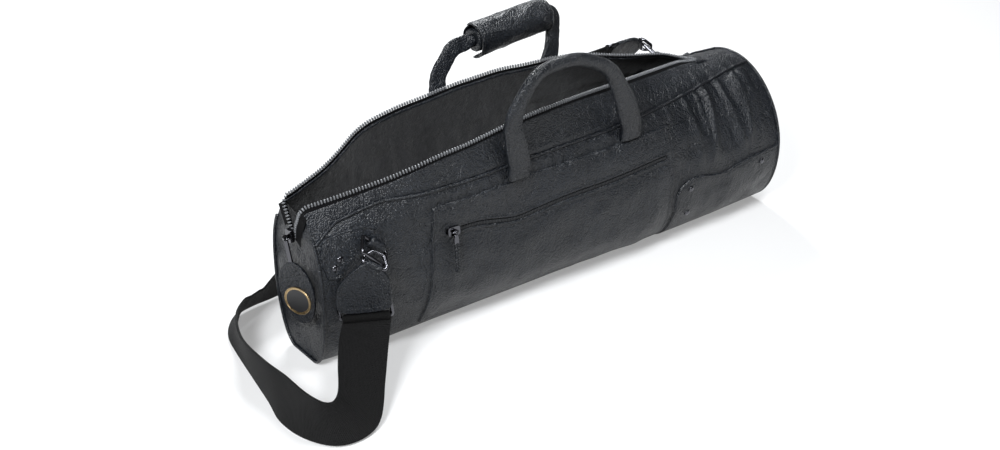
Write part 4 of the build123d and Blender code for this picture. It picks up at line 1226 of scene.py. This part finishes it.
bmesh.ops.scale(bm, vec=(MM,) * 3, verts=bm.verts)
enamel = Shader("black enamel", Base_Color=(0.012, 0.012, 0.013, 1), Roughness=0.35)
enamel.bumps((enamel.noise(900, 3.0), 0.00004))
mesh = to_mesh(bm, "tag_plate")
piece("tag_plate", mesh, gilt.material, "tag_pull", ("tag_medallion",))
mesh.materials.append(enamel.material)
for polygon in mesh.polygons:
    polygon.use_smooth = False
    polygon.material_index = int(len(polygon.vertices) > 20)

pull_x = Vector(joints["pocket_slider_slide"]["axis"]).normalized()
pull_up = Vector((0.0278, 0.06998, 0.99716)).normalized()
pull_place = axes(Vector(joints["pocket_pull_swing"]["pos_m"]) / MM, pull_x, pull_up, pull_x.cross(pull_up))
eye = barrel("pull_eye", pull_place, 3.2, 2.4, 1.3, 20, fine=0.6)
bar = plate("pull_bar", pull_place @ Matrix.Translation((0, -7.6, 0)),
            softened([(-1.6, 5.4), (1.6, 5.4), (2.6, 1), (2.6, -4.6), (-2.6, -4.6), (-2.6, 1)]), 1.8, 0.5)
piece("pocket_pull_metal", joined("pocket_pull_metal", eye, bar), nickel.material, "pocket_pull",
      ("pocket_pull",))
strands = []
for k in range(3):
    phase = 2 * math.pi * k / 3
    strands.append(tube("strand", [pull_place @ Vector((1.5 * math.sin(s * 0.62 + phase), -11.2 - s,
                                                        0.75 * math.sin(2 * (s * 0.62 + phase))))
                                   for s in np.arange(0, 27.5, 1.3)], 1.05))
knot = barrel("knot", pull_place @ turned(0, -39.6, 90), 3.6, 2.3, 0.5, 16, fine=0.7)
piece("pocket_pull_lace", joined("pocket_pull_lace", *strands, knot), body_leather, "pocket_pull",
      ("pocket_pull",))

# ---- End of the mouth zip -----------------------------------------------------------------------
# A small square of leather is sewn over the closed end of the zip, where the two halves of its
# tape meet, and takes the strain when the mouth is pulled open.


def stop_point(u, v):
    x, y = 217 + 16 * crowded(u), -7.5 + 15 * crowded(v)
    rim = min(x - 217, 233 - x, y + 7.5, 7.5 - y)
    top = max(on_bag(x, 1.0, side)[0].z for side in (-1, 1))
    return Vector((x, y, top + 0.35 + 1.5 * ramp(rim, 0, 1.4) - 0.006 * y * y))


piece("zip_end_patch", cloth("zip_end_patch", 24, 24, stop_point), body_leather, "bag",
      ("zip_end_stop",))

# ---- Camera, floor and light --------------------------------------------------------------------
# A longish lens looks down on the pocket and the narrow end. The floor is white to the camera, and
# three soft lamps and a dim sky light the bag.
camera = bpy.data.cameras.new("camera")
camera.sensor_width = 36
camera.lens = 52.81
camera.shift_x, camera.shift_y = -0.0349, -0.0331
eye = bpy.data.objects.new("camera", camera)
bpy.context.scene.collection.objects.link(eye)
eye.location = (-0.8335, -1.0292, 0.7842)
eye.rotation_euler = (Vector((0, 0, 0.08)) - eye.location).to_track_quat("-Z", "Y").to_euler()
bpy.context.scene.camera = eye

BACKDROP = 0.32              # the floor's own light, for the camera and reflections alone
floor_finish = Shader("pale floor", Base_Color=(0.5, 0.5, 0.5, 1), Roughness=0.9, Specular_IOR_Level=0.1,
                      Emission_Color=(1, 1, 1, 1))
rays = floor_finish.tree.nodes.new("ShaderNodeLightPath").outputs
seen = floor_finish.node("Math", {0: rays["Is Camera Ray"], 1: rays["Is Glossy Ray"]}, operation="MAXIMUM")
seen = floor_finish.node("Math", {0: seen, 1: rays["Is Transmission Ray"]}, operation="MAXIMUM")
glow = floor_finish.node("Math", {0: seen, 1: BACKDROP}, operation="MULTIPLY")
floor_finish.to("Emission Strength", glow)
floor_mesh = cloth("floor", 2, 2, lambda u, v: Vector((8000 * (u - 0.5), 8000 * (v - 0.5), -0.3)))
floor = bpy.data.objects.new("floor", floor_mesh)
bpy.context.scene.collection.objects.link(floor)
floor_mesh.materials.append(floor_finish.material)

for name, size, power, at in (("window", 0.5, 43, (-1.3, -0.7, 1.35)), ("back", 0.5, 40, (0.6, 1.4, 1.35)),
                              ("top", 0.35, 12, (0.1, -0.45, 1.3))):
    lamp = bpy.data.lights.new(name, "AREA")
    lamp.size, lamp.energy, lamp.color = size, power, (0.96, 0.98, 1.0)
    stand = bpy.data.objects.new(name, lamp)
    bpy.context.scene.collection.objects.link(stand)
    stand.location = at
    stand.rotation_euler = (Vector((0, 0, 0.1)) - Vector(at)).to_track_quat("-Z", "Y").to_euler()
world = bpy.data.worlds.new("studio")
world.use_nodes = True
world.node_tree.nodes["Background"].inputs["Color"].default_value = (1, 1, 1, 1)
world.node_tree.nodes["Background"].inputs["Strength"].default_value = 0.12
bpy.context.scene.world = world
bpy.context.scene.view_settings.view_transform = "Standard"
